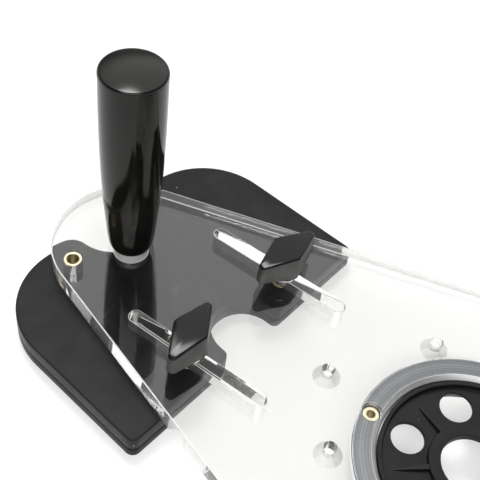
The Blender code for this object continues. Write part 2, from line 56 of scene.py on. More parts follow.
Point = tuple[float, float]
Colour = tuple[float, float, float]
Item = bpy.types.Object
Material = bpy.types.Material
Node = bpy.types.Node
Socket = bpy.types.NodeSocket
Tree = bpy.types.NodeTree

IMAGE_SIDE = 480
SIDES = ("left", "right")
SHARP_ANGLE = 30.0
RIM_STEPS = 4
LEVEL_NORMAL = 0.9999
LEAST_FLAT_AREA = 1e-6
WELD_DISTANCE = 1e-7


class Body(Enum):
    """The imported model's moving bodies."""

    BASE = "base"
    DISC = "insert_disc"
    CARRIAGE = "carriage"
    FOOT = "foot"
    CLAMP_LEFT = "clamp_left"
    CLAMP_RIGHT = "clamp_right"


class Slot(Enum):
    """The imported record's material slots."""

    ACRYLIC = "clear_acrylic"
    SHEET = "satin_black_sheet"
    GLOSS = "gloss_black_plastic"
    MOULDED = "moulded_black_plastic"
    ALUMINIUM = "machined_aluminium"
    STEEL = "plated_steel"
    BRASS = "brass"


class Look(Enum):
    """The finishes, by the names of their materials."""

    CLEAR = "acrylic_clear"
    MILLED = "acrylic_milled"
    SAWN = "acrylic_sawn"
    FROSTED = "acrylic_frosted"
    EASED = "acrylic_eased"
    FOOT = "foot_satin"
    GRIP = "grip_gloss"
    CROWN = "grip_crown"
    KNOB = "knob_gloss"
    GRAINED_LIT = "knob_grained"
    DISC = "disc_moulded"
    RING = "ring_turned"
    BEVEL = "ring_bevelled"
    STEEL = "steel_plated"
    DARK_STEEL = "steel_blackened"
    BRASS = "brass_turned"
    FLOOR = "floor_pale"


Looks = dict[Look, Material]


@dataclass(frozen=True)
class Datum:
    """Places, sizes and clearances that several pieces share."""

    grip_x: float = -0.1443
    router_x: float = 0.0781
    plate_bottom: float = 0.0166
    plate_top: float = 0.0293
    foot_layer: float = 0.0068
    foot_top: float = 0.0163
    foot_turn: float = -6.2
    left_stud: Point = (-0.0727, -0.0385)
    right_stud: Point = (-0.0643351, 0.0385)
    left_bearing: float = 98.6
    right_bearing: float = 78.7
    ring_radius: float = 0.0617
    ring_thickness: float = 0.0065
    pocket_depth: float = 0.0102
    thread_radius: float = 0.003175
    gap: float = 0.0003
    overrun: float = 0.002


# Outlines and sections


@dataclass(frozen=True)
class Arc:
    """A round stretch of an outline. A positive sweep bulges outwards."""

    x: float
    y: float
    radius: float
    start: float
    sweep: float

    def trace(self, inset: float, spacing: float) -> list[Point]:
        """Return points along the arc, both ends included.

        Args:
            inset: How far the outline moves inwards.
            spacing: The greatest turn between two points, in degrees.

        Returns:
            The points.
        """
        radius = self.radius - math.copysign(inset, self.sweep)
        steps = max(2, math.ceil(abs(self.sweep) / spacing))
        angles = [math.radians(self.start + self.sweep * step / steps) for step in range(steps + 1)]
        return [(self.x + radius * math.cos(a), self.y + radius * math.sin(a)) for a in angles]


@dataclass(frozen=True)
class Outline:
    """A closed outline of arcs, joined by straight lines."""

    arcs: tuple[Arc, ...]
    spacing: float

    def trace(self, inset: float = 0.0) -> list[Point]:
        """Return the outline's points, moved inwards by the inset."""
        return [point for arc in self.arcs for point in arc.trace(inset, self.spacing)]


def rim_steps(ease: float, steps: int = RIM_STEPS) -> list[Point]:
    """Return (inset, drop) pairs round a quarter circle, from the wall to the flat."""
    angles = [math.radians(90 * step / steps) for step in range(steps + 1)]
    return [(ease * (1 - math.cos(a)), ease * (1 - math.sin(a))) for a in angles]


def slab_levels(low: float, high: float, ease: float) -> list[Point]:
    """Return (inset, height) pairs, from the bottom up, for a slab with two rounded rims."""
    rim = rim_steps(ease)
    return [(inset, low + drop) for inset, drop in reversed(rim)] + [(i, high - drop) for i, drop in rim]


def solid(*wall: Point) -> list[Point]:
    """Return a section that runs along a wall, closed to the axis at both ends."""
    return [(0.0, wall[0][1]), *wall, (0.0, wall[-1][1])]


def eased(corners: Sequence[tuple[float, float, float]]) -> list[Point]:
    """Return a closed section whose corners are rounded.

    Args:
        corners: The (radius, height, ease) corners. The ease is the rounding's reach.

    Returns:
        The section's points.
    """
    points = []
    for index, (radius, height, ease) in enumerate(corners):
        if ease <= 0.0:
            points.append((radius, height))
            continue
        middle = Vector((radius, height))
        sides = [Vector(corners[at % len(corners)][:2]) for at in (index - 1, index + 1)]
        start, end = (middle + (side - middle).normalized() * ease for side in sides)
        for step in range(RIM_STEPS + 1):
            share = step / RIM_STEPS
            place = start * (1 - share) ** 2 + middle * 2 * share * (1 - share) + end * share**2
            points.append((place.x, place.y))
    return points


def band(inner: float, outer: float, low: float, high: float, eases: Point) -> list[Point]:
    """Return the section of a flat ring, whose two eases are those of its bore and its rim."""
    bore, rim = eases
    return eased([(inner, low, bore), (outer, low, rim), (outer, high, rim), (inner, high, bore)])


def smooth_through(places: Sequence[float], values: Sequence[float], place: float) -> float:
    """Return the value at a place on a smooth curve through some points.

    Args:
        places: The points' places, rising.
        values: The points' values.
        place: The place to read.

    Returns:
        The value there.
    """
    last = len(places) - 1
    index = next((i for i in range(last) if place <= places[i + 1]), last - 1)
    slopes = []
    for at in (index, index + 1):
        low, high = max(at - 1, 0), min(at + 1, last)
        slopes.append((values[high] - values[low]) / (places[high] - places[low]))
    width = places[index + 1] - places[index]
    share = (place - places[index]) / width
    first = (1 + 2 * share) * (1 - share) ** 2 * values[index]
    second = share**2 * (3 - 2 * share) * values[index + 1]
    leaving = share * (1 - share) ** 2 * slopes[0]
    arriving = share**2 * (1 - share) * slopes[1]
    return first + second + (leaving - arriving) * width


def bearing_place(centre: Point, radius: float, bearing: float) -> Vector:
    """Return the place at a distance and bearing from a centre, at height 0."""
    angle = math.radians(bearing)
    return Vector((centre[0] + radius * math.cos(angle), centre[1] + radius * math.sin(angle), 0.0))


def round_places(centre: Point, radius: float, phase: float, count: int) -> list[Vector]:
    """Return places spread evenly round a centre, the first at the phase's bearing."""
    return [bearing_place(centre, radius, phase + 360 * number / count) for number in range(count)]


def on_axis(x: float) -> Vector:
    """Return the place at a distance along the plate's centre line, at height 0."""
    return Vector((x, 0.0, 0.0))


def standing(place: Point, turn: float) -> Matrix:
    """Return the matrix that turns a piece about Z and then moves it to its place."""
    return Matrix.Translation((*place, 0.0)) @ Matrix.Rotation(math.radians(turn), 4, "Z")


# Meshes


class MeshDraft:
    """A mesh in the making, which ends as an object at the origin."""

    def __init__(self) -> None:
        """Start an empty mesh."""
        self.data = bmesh.new()

    def ring(self, points: Iterable[Sequence[float]]) -> list[bmesh.types.BMVert]:
        """Add a vertex at each point."""
        return [self.data.verts.new(point) for point in points]

    def face(self, corners: Iterable[bmesh.types.BMVert], material: int = 0) -> None:
        """Add a face."""
        self.data.faces.new(tuple(corners)).material_index = material

    def skin(self, rings: Sequence[Sequence[bmesh.types.BMVert]], material: int = 0) -> None:
        """Join equal rings of vertices with faces.

        Args:
            rings: The rings, in order.
            material: The faces' material, by index.
        """
        for lower, upper in zip(rings, rings[1:]):
            for index in range(len(lower)):
                after = (index + 1) % len(lower)
                self.face((lower[index], lower[after], upper[after], upper[index]), material)

    def close(self, rings: Sequence[Sequence[bmesh.types.BMVert]]) -> None:
        """Close the two ends of a skin."""
        self.face(reversed(rings[0]))
        self.face(rings[-1])

    def stack(self, outline: Outline, levels: Sequence[Point], wall: int = 0, slope: int = 0) -> None:
        """Add a closed solid whose outline moves in by each level's inset.

        Args:
            outline: The outline at no inset.
            levels: The (inset, height) pairs, from the bottom up.
            wall: The material's index on the upright sides.
            slope: The material's index on the sides that move in.
        """
        rings = [self.ring((x, y, height) for x, y in outline.trace(inset)) for inset, height in levels]
        for index, (lower, upper) in enumerate(zip(levels, levels[1:])):
            self.skin(rings[index : index + 2], wall if lower[0] == upper[0] else slope)
        self.close(rings)

    def turning(self, profile: Sequence[Point], steps: int, centre: Vector, slope: int = 0) -> None:
        """Add a solid turned about a vertical axis.

        Args:
            profile: The (radius, height) pairs. It is a loop, or starts and ends on the axis.
            steps: The faces round the axis.
            centre: The axis's foot.
            slope: The material's index on cones.
        """
        rings = []
        for radius, height in profile:
            angles = [math.tau * step / steps for step in range(steps if radius > 0.0 else 1)]
            rim = [Vector((radius * math.cos(a), radius * math.sin(a), height)) for a in angles]
            rings.append(self.ring(centre + offset for offset in rim))
        stretches = len(rings) if profile[0][0] > 0.0 else len(rings) - 1
        for number in range(stretches):
            after = (number + 1) % len(rings)
            first, second = rings[number], rings[after]
            cone = all(here != there for here, there in zip(profile[number], profile[after]))
            for step in range(steps):
                turn = (step + 1) % steps
                corners = [first[step % len(first)], first[turn % len(first)]]
                corners += [second[turn % len(second)], second[step % len(second)]]
                corners = list(dict.fromkeys(corners))
                if len(corners) > 2:
                    self.face(corners, slope if cone else 0)

    def take(self, item: Item) -> None:
        """Add another object's mesh, and remove the object."""
        self.data.from_mesh(item.data)
        remove(item)

    def finish(self, name: str, materials: Iterable[Material]) -> Item:
        """Turn the draft into a smooth-shaded object.

        Args:
            name: The object's name.
            materials: The materials, by index.

        Returns:
            The object.
        """
        bmesh.ops.remove_doubles(self.data, verts=self.data.verts, dist=WELD_DISTANCE)
        bmesh.ops.recalc_face_normals(self.data, faces=self.data.faces)
        mesh = bpy.data.meshes.new(name)
        self.data.to_mesh(mesh)
        self.data.free()
        for material in materials:
            mesh.materials.append(material)
        item = bpy.data.objects.new(name, mesh)
        bpy.context.scene.collection.objects.link(item)
        return shade(item)


def remove(item: Item) -> None:
    """Remove an object from the file."""
    bpy.data.objects.remove(item, do_unlink=True)


def shade(item: Item) -> Item:
    """Shade an object smooth, apart from its sharp edges.

    Args:
        item: The object.

    Returns:
        The object.
    """
    item.data.shade_smooth()
    item.data.set_sharp_from_angle(angle=math.radians(SHARP_ANGLE))
    return item


def turned(
    name: str,
    section: Sequence[Point],
    materials: Sequence[Material],
    steps: int = 48,
    places: Sequence[Vector] = (Vector(),),
) -> Item:
    """Make an object that holds the same turning at each place.

    Args:
        name: The object's name.
        section: The (radius, height) pairs.
        materials: One finish, or a second one too for the cones.
        steps: The faces round each axis.
        places: The axes' feet.

    Returns:
        The object.
    """
    draft = MeshDraft()
    for place in places:
        draft.turning(section, steps, place, slope=len(materials) - 1)
    return draft.finish(name, materials)


def join(name: str, items: Sequence[Item], place: Matrix = Matrix()) -> Item:
    """Join some objects into one, which takes the first one's finish.

    Args:
        name: The new object's name.
        items: The objects, which are removed.
        place: The matrix from their frame to the new object's.

    Returns:
        The new object.
    """
    materials = items[0].data.materials[:1]
    draft = MeshDraft()
    for item in items:
        draft.take(item)
    draft.data.transform(place)
    return draft.finish(name, materials)


def flatten_flats(item: Item) -> None:
    """Mark the borders of an object's level faces sharp, so that they shade flat.

    Args:
        item: The object.
    """
    work = bmesh.new()
    work.from_mesh(item.data)
    work.normal_update()
    for edge in work.edges:
        flats = [face for face in edge.link_faces if abs(face.normal.z) > LEVEL_NORMAL]
        if len(flats) == 1 and flats[0].calc_area() > LEAST_FLAT_AREA:
            edge.smooth = False
    work.to_mesh(item.data)
    work.free()


def settle(item: Item) -> Item:
    """Replace an object's mesh with its evaluated one, and drop its modifiers.

    Args:
        item: The object.

    Returns:
        The object, shaded again.
    """
    bpy.context.view_layer.update()
    graph = bpy.context.evaluated_depsgraph_get()
    mesh = bpy.data.meshes.new_from_object(item.evaluated_get(graph), depsgraph=graph)
    item.modifiers.clear()
    item.data = mesh
    return shade(item)


def carve(item: Item, *cutters: Item, operation: str = "DIFFERENCE") -> Item:
    """Cut an object with others, which are then removed.

    Args:
        item: The object to cut.
        cutters: The cutting objects. Their faces bring their materials.
        operation: The Boolean operation.

    Returns:
        The cut object.
    """
    for cutter in cutters:
        modifier = item.modifiers.new(cutter.name, "BOOLEAN")
        modifier.operation = operation
        modifier.solver = "EXACT"
        modifier.material_mode = "TRANSFER"
        modifier.object = cutter
    settle(item)
    for cutter in cutters:
        remove(cutter)
    return item


def seat(item: Item, body: Body, slot: Slot, *nodes: str) -> None:
    """Seat a finished piece on its body and report it.

    Args:
        item: The piece.
        body: The body that it rides on.
        slot: The material slot that it stands for; it is not used.
        nodes: The CAD nodes that it stands for.
    """
    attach(item, body.value)
    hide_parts(*nodes)
    log.info("%s: %d faces, rides on %s", item.name, len(item.data.polygons), body.value)


# Node trees


class NodeFiller:
    """Short calls that fill a node tree."""

    def __init__(self, tree: Tree) -> None:
        """Take the tree to fill."""
        self.tree = tree

    def feed(self, node: Node, inputs: dict) -> Node:
        """Set or link a node's inputs.

        Args:
            node: The node.
            inputs: Values or sockets, by input name or index.

        Returns:
            The node.
        """
        for key, value in inputs.items():
            if isinstance(value, Socket):
                self.tree.links.new(value, node.inputs[key])
            else:
                colour = node.inputs[key].type == "RGBA"
                node.inputs[key].default_value = (*value, 1.0) if colour else value
        return node

    def node(self, kind: str, inputs: Optional[dict] = None, **settings: object) -> Node:
        """Add a node, set its properties and its inputs.

        Args:
            kind: The node's type.
            inputs: Values or sockets, by input name or index.
            settings: The node's properties.

        Returns:
            The node.
        """
        made = self.tree.nodes.new(kind)
        for name, value in settings.items():
            setattr(made, name, value)
        return self.feed(made, inputs or {})

    def value(self, kind: str, inputs: dict, **settings: object) -> Socket:
        """Add a node as above and return its first output."""
        return self.node(kind, inputs, **settings).outputs[0]

    def compute(self, operation: str, *values: object) -> Socket:
        """Add a math node on some values or sockets and return its result."""
        return self.value("ShaderNodeMath", dict(enumerate(values)), operation=operation)


class GeometryTree(NodeFiller):
    """A geometry node tree with named inputs."""

    def __init__(self, name: str) -> None:
        """Start a tree that takes and gives a geometry.

        Args:
            name: The tree's name.
        """
        super().__init__(bpy.data.node_groups.new(name, "GeometryNodeTree"))
        for way in ("INPUT", "OUTPUT"):
            self.tree.interface.new_socket("Geometry", in_out=way, socket_type="NodeSocketGeometry")
        self.source = self.node("NodeGroupInput")
        self.sink = self.node("NodeGroupOutput")

    def size(self, name: str, kind: str = "Float") -> Socket:
        """Add a named input of a kind and return its socket inside the tree."""
        self.tree.interface.new_socket(name, in_out="INPUT", socket_type=f"NodeSocket{kind}")
        return self.source.outputs[name]

    def copies(self, points: Socket, **inputs: Socket) -> Socket:
        """Place copies of the object that the Pattern input names.

        Args:
            points: The points that they stand on.
            inputs: More inputs of the node that places them.

        Returns:
            The copies.
        """
        info = self.node("GeometryNodeObjectInfo", {"Object": self.size("Pattern", "Object")})
        inputs = {"Points": points, "Instance": info.outputs["Geometry"], **inputs}
        return self.value("GeometryNodeInstanceOnPoints", inputs)

    def end(self, geometry: Socket) -> None:
        """Realise the instances, set the material and close the tree.

        Args:
            geometry: What the tree has made.
        """
        real = self.value("GeometryNodeRealizeInstances", {"Geometry": geometry})
        inputs = {"Geometry": real, "Material": self.size("Material", "Material")}
        self.feed(self.sink, {0: self.value("GeometryNodeSetMaterial", inputs)})

    def run(self, name: str, sizes: dict[str, object], points: Sequence[Vector] = ()) -> Item:
        """Run the tree on some points and return the result as a plain object.

        Args:
            name: The object's name.
            sizes: The inputs' values, by name.
            points: The points that the tree is given.

        Returns:
            The object, with no modifier.
        """
        mesh = bpy.data.meshes.new(name)
        mesh.from_pydata([tuple(point) for point in points], [], [])
        item = bpy.data.objects.new(name, mesh)
        bpy.context.scene.collection.objects.link(item)
        modifier = item.modifiers.new(name, "NODES")
        modifier.node_group = self.tree
        for socket in self.tree.interface.items_tree:
            if socket.in_out == "INPUT" and socket.name in sizes:
                modifier[socket.identifier] = sizes[socket.name]
        item.update_tag()
        return settle(item)

    def repeat(
        self, name: str, pattern: Item, sizes: dict[str, object], points: Sequence[Vector] = ()
    ) -> Item:
        """Run the tree on a pattern object, which is then removed.

        Args:
            name: The new object's name.
            pattern: The object to copy, whose finish the copies take.
            sizes: The other inputs' values, by name.
            points: The points that the tree is given.

        Returns:
            The copies, as one object.
        """
        sizes = {"Pattern": pattern, "Material": pattern.data.materials[0], **sizes}
        copies = self.run(name, sizes, points)
        remove(pattern)
        return copies


class ThreadTree(GeometryTree):
    """A helical thread ridge, swept along a spiral about Z."""

    steps_per_turn = 24
    section_steps = 6

    def __init__(self) -> None:
        """Build the tree."""
        super().__init__("thread_ridge")
        radius = self.size("Radius")
        inputs = {"Resolution": self.steps_per_turn, "Start Radius": radius, "End Radius": radius}
        inputs |= {"Rotations": self.size("Turns"), "Height": self.size("Length")}
        spiral = self.value("GeometryNodeCurveSpiral", inputs)
        upright = self.value("GeometryNodeSetCurveNormal", {"Curve": spiral}, mode="Z_UP")
        inputs = {"Resolution": self.section_steps, "Radius": self.size("Depth")}
        section = self.value("GeometryNodeCurvePrimitiveCircle", inputs)
        inputs = {"Curve": upright, "Profile Curve": section, "Fill Caps": True}
        self.end(self.value("GeometryNodeCurveToMesh", inputs))


class ScatterTree(GeometryTree):
    """Copies of a pattern object, one on each point that the tree is given."""

    def __init__(self) -> None:
        """Build the tree."""
        super().__init__("pattern_on_points")
        self.end(self.copies(self.source.outputs["Geometry"]))


class CircleTree(GeometryTree):
    """Copies of a pattern object round Z, each turned to face outwards."""

    def __init__(self) -> None:
        """Build the tree."""
        super().__init__("pattern_round_axis")
        count = self.size("Count", "Int")
        share = self.compute("DIVIDE", self.value("GeometryNodeInputIndex", {}), count)
        angle = self.compute("ADD", self.compute("MULTIPLY", share, math.tau), self.size("Phase"))
        turn = self.value("ShaderNodeCombineXYZ", {"Z": angle})
        self.end(self.copies(self.value("GeometryNodePoints", {"Count": count}), Rotation=turn))


# Shader groups that several finishes share


class EffectGroup(NodeFiller):
    """A shader node group with named inputs and outputs."""

    def __init__(self, name: str, inputs: dict[str, float]) -> None:
        """Start the group.

        Args:
            name: The group's name.
            inputs: The inputs' default values, by name.
        """
        super().__init__(bpy.data.node_groups.new(name, "ShaderNodeTree"))
        for label, value in inputs.items():
            self.socket(label, "INPUT").default_value = value
        self.inlet = self.node("NodeGroupInput").outputs
        self.sink = self.node("NodeGroupOutput")
        self.place = self.node("ShaderNodeTexCoord").outputs["Object"]

    def socket(self, label: str, way: str) -> bpy.types.NodeTreeInterfaceSocket:
        """Add a named value that goes into or out of the group."""
        return self.tree.interface.new_socket(label, in_out=way, socket_type="NodeSocketFloat")

    def noise(self, scale: object, detail: float, **settings: float) -> Socket:
        """Return a noise value over the piece's own place."""
        inputs = {"Vector": self.place, "Scale": scale, "Detail": detail, **settings}
        return self.value("ShaderNodeTexNoise", inputs)

    def ramp(self, source: Socket, low: float, high: float) -> Socket:
        """Return the source's share of the way from low to high, from 0 to 1."""
        return self.value("ShaderNodeMapRange", {0: source, 1: low, 2: high})

    def give(self, label: str, value: Socket) -> None:
        """Send a value out of the group under a name."""
        self.socket(label, "OUTPUT")
        self.feed(self.sink, {label: value})


class FineGrain(EffectGroup):
    """The fine grain of a moulding or sheet: a height and a broad tone."""

    def __init__(self) -> None:
        """Build the group."""
        super().__init__("fine_grain", {"Scale": 2200.0, "Tone Scale": 60.0})
        broad = self.noise(self.inlet["Tone Scale"], detail=4.0)
        self.give("Height", self.noise(self.inlet["Scale"], detail=3.0))
        self.give("Tone", self.ramp(broad, low=0.35, high=0.65))


class DustSpecks(EffectGroup):
    """The mask of a few small dust specks."""

    def __init__(self) -> None:
        """Build the group."""
        super().__init__("dust_specks", {"Scale": 150.0, "Size": 0.06, "Share": 0.1})
        inputs = {"Vector": self.place, "Scale": self.inlet["Scale"]}
        cells = self.node("ShaderNodeTexVoronoi", inputs).outputs
        near = self.compute("LESS_THAN", cells["Distance"], self.inlet["Size"])
        lot = self.value("ShaderNodeSeparateColor", {0: cells["Color"]})
        chosen = self.compute("LESS_THAN", lot, self.inlet["Share"])
        self.give("Mask", self.compute("MULTIPLY", near, chosen))


class HandlingMarks(EffectGroup):
    """The mask of the broad handling marks that dull a gloss."""

    def __init__(self) -> None:
        """Build the group."""
        super().__init__("handling_marks", {"Scale": 22.0})
        broad = self.noise(self.inlet["Scale"], detail=5.0, Distortion=0.6)
        self.give("Mask", self.ramp(broad, low=0.42, high=0.72))


class LatheLines(EffectGroup):
    """The fine circles that a lathe leaves about a vertical axis: a height and a tone."""

    def __init__(self) -> None:
        """Build the group."""
        super().__init__("lathe_lines", {"Centre X": 0.0, "Centre Y": 0.0, "Lines": 5200.0})
        x, y, height = self.node("ShaderNodeSeparateXYZ", {0: self.place}).outputs
        x = self.compute("SUBTRACT", x, self.inlet["Centre X"])
        y = self.compute("SUBTRACT", y, self.inlet["Centre Y"])
        square = self.compute("ADD", self.compute("MULTIPLY", x, x), self.compute("MULTIPLY", y, y))
        along = self.compute("ADD", self.compute("SQRT", square), height)
        inputs = {"W": self.compute("MULTIPLY", along, self.inlet["Lines"]), "Scale": 1.0, "Detail": 2.0}
        lines = self.value("ShaderNodeTexNoise", inputs, noise_dimensions="1D")
        self.give("Height", lines)
        self.give("Tone", self.ramp(lines, low=0.3, high=0.7))


class HairScratches(EffectGroup):
    """The mask of sparse hair scratches, long in one direction."""

    turn = (0.0, 0.0, 0.5)
    stretch = (1.0, 0.06, 1.0)
    patch_scale = 35.0
    patch_level = 0.56

    def __init__(self) -> None:
        """Build the group."""
        super().__init__("hair_scratches", {"Scale": 90.0, "Width": 0.012})
        inputs = {"Vector": self.place, "Rotation": self.turn, "Scale": self.stretch}
        inputs = {"Vector": self.value("ShaderNodeMapping", inputs), "Scale": self.inlet["Scale"]}
        edge = self.value("ShaderNodeTexVoronoi", inputs, feature="DISTANCE_TO_EDGE")
        line = self.compute("LESS_THAN", edge, self.inlet["Width"])
        patches = self.noise(self.patch_scale, detail=2.0)
        here = self.compute("GREATER_THAN", patches, self.patch_level)
        self.give("Mask", self.compute("MULTIPLY", line, here))


EFFECTS = (FineGrain, DustSpecks, HandlingMarks, LatheLines, HairScratches)


# Finishes


class MaterialTree(NodeFiller):
    """A new material's tree, round its Principled shader."""

    def __init__(self, name: str, effects: dict[type, Tree]) -> None:
        """Start the material.

        Args:
            name: Its name.
            effects: The shared groups, by kind.
        """
        self.material = bpy.data.materials.new(name)
        self.material.use_nodes = True
        super().__init__(self.material.node_tree)
        self.shader = self.tree.nodes["Principled BSDF"]
        self.effects = effects

    def effect(self, kind: type, inputs: Optional[dict] = None) -> bpy.types.NodeOutputs:
        """Place a shared group with its own values, and return its outputs."""
        return self.node("ShaderNodeGroup", inputs, node_tree=self.effects[kind]).outputs

    def blend(self, mask: Socket, first: object, second: object) -> Socket:
        """Mix two colours or colour sockets by a mask."""
        inputs = {0: mask, 6: first, 7: second}
        return self.node("ShaderNodeMix", inputs, data_type="RGBA").outputs[2]

    def span(self, mask: Socket, low: float, high: float) -> Socket:
        """Return a value that runs from low to high with a mask."""
        return self.value("ShaderNodeMapRange", {0: mask, 3: low, 4: high})

    def relief(self, height: Socket, depth: float, share: float) -> Socket:
        """Return the normal of a surface raised by a share of some metres."""
        return self.value("ShaderNodeBump", {"Height": height, "Distance": depth, "Strength": share})


@dataclass(frozen=True)
class Finish(ABC):
    """A finish that is made once and shared by its pieces."""

    look: Look
    colour: Colour
    roughness: float
    rougher: float

    def make(self, effects: dict[type, Tree]) -> Material:
        """Make the material.

        Args:
            effects: The shared groups, by kind.

        Returns:
            The material.
        """
        tree = MaterialTree(self.look.value, effects)
        tree.feed(tree.shader, self.inputs(tree))
        return tree.material

    @abstractmethod
    def inputs(self, tree: MaterialTree) -> dict[str, object]:
        """Fill the material's nodes and return what its shader's inputs are given."""


@dataclass(frozen=True)
class BlackPlastic(Finish):
    """Black plastic, from satin sheet to a high gloss."""

    pale: Colour
    specular: float
    grain_scale: float = 2200.0
    grain_depth: float = 0.00002
    grain_share: float = 0.3
    dust_scale: float = 150.0
    dust_share: float = 0.02
    dust_colour: Colour = (0.3, 0.3, 0.29)

    def inputs(self, tree: MaterialTree) -> dict[str, object]:
        """Lay grain, handling marks and specks of dust.

        Args:
            tree: The material's tree.

        Returns:
            The shader's inputs.
        """
        grain = tree.effect(FineGrain, {"Scale": self.grain_scale})
        marks = tree.effect(HandlingMarks)
        dust = tree.effect(DustSpecks, {"Scale": self.dust_scale, "Share": self.dust_share})
        tone = tree.blend(grain["Tone"], self.colour, self.pale)
        return {
            "Base Color": tree.blend(dust["Mask"], tone, self.dust_colour),
            "Roughness": tree.span(marks["Mask"], self.roughness, self.rougher),
            "Specular IOR Level": self.specular,
            "Normal": tree.relief(grain["Height"], self.grain_depth, self.grain_share),
        }


@dataclass(frozen=True)
class ClearAcrylic(Finish):
    """Clear acrylic, polished or machined."""

    clear: float
    wave_scale: float
    wave_share: float
    wave_depth: float = 0.00002
    shade_tint: Colour = (0.905, 0.908, 0.898)
    index: float = 1.49

    def inputs(self, tree: MaterialTree) -> dict[str, object]:
        """Make a clear glass that shows a tinted transparent surface to shadow and diffuse rays.

        Args:
            tree: The material's tree.

        Returns:
            The shader's inputs.
        """
        dust = tree.effect(DustSpecks, {"Scale": 110.0, "Share": 0.16, "Size": 0.05})
        scratches = tree.effect(HairScratches)
        grain = tree.effect(FineGrain, {"Scale": self.wave_scale})
        light = tree.node("ShaderNodeLightPath").outputs
        passing = tree.compute("MAXIMUM", light["Is Shadow Ray"], light["Is Diffuse Ray"])
        clear = tree.value("ShaderNodeBsdfTransparent", {"Color": self.shade_tint})
        mixed = tree.value("ShaderNodeMixShader", {0: passing, 1: tree.shader.outputs[0], 2: clear})
        tree.feed(tree.tree.nodes["Material Output"], {"Surface": mixed})
        worn = tree.compute("MAXIMUM", dust["Mask"], scratches["Mask"])
        return {
            "Base Color": self.colour,
            "Roughness": tree.span(worn, self.roughness, self.rougher),
            "Transmission Weight": self.clear,
            "IOR": self.index,
            "Normal": tree.relief(grain["Height"], self.wave_depth, self.wave_share),
        }


@dataclass(frozen=True)
class TurnedMetal(Finish):
    """Metal with fine lathe lines about a vertical axis."""

    pale: Colour
    centre: Point = (0.0, 0.0)
    lines: float = 5200.0
    depth: float = 0.00001
    share: float = 0.5

    def inputs(self, tree: MaterialTree) -> dict[str, object]:
        """Lay lathe lines and a little dullness.

        Args:
            tree: The material's tree.

        Returns:
            The shader's inputs.
        """
        x, y = self.centre
        lathe = tree.effect(LatheLines, {"Centre X": x, "Centre Y": y, "Lines": self.lines})
        marks = tree.effect(HandlingMarks, {"Scale": 45.0})
        return {
            "Base Color": tree.blend(lathe["Tone"], self.colour, self.pale),
            "Roughness": tree.span(marks["Mask"], self.roughness, self.rougher),
            "Metallic": 1.0,
            "Normal": tree.relief(lathe["Height"], self.depth, self.share),
        }


@dataclass(frozen=True)
class PaleFloor(Finish):
    """The plain pale floor, barely uneven and with a faint glow of its own."""

    pale: Colour
    glow: float = 0.5

    def inputs(self, tree: MaterialTree) -> dict[str, object]:
        """Lay a barely uneven white.

        Args:
            tree: The material's tree.

        Returns:
            The shader's inputs.
        """
        grain = tree.effect(FineGrain, {"Tone Scale": 3.0})
        return {
            "Base Color": tree.blend(grain["Tone"], self.colour, self.pale),
            "Roughness": self.roughness,
            "Specular IOR Level": 0.1,
            "Emission Color": (1.0, 1.0, 1.0),
            "Emission Strength": self.glow,
        }


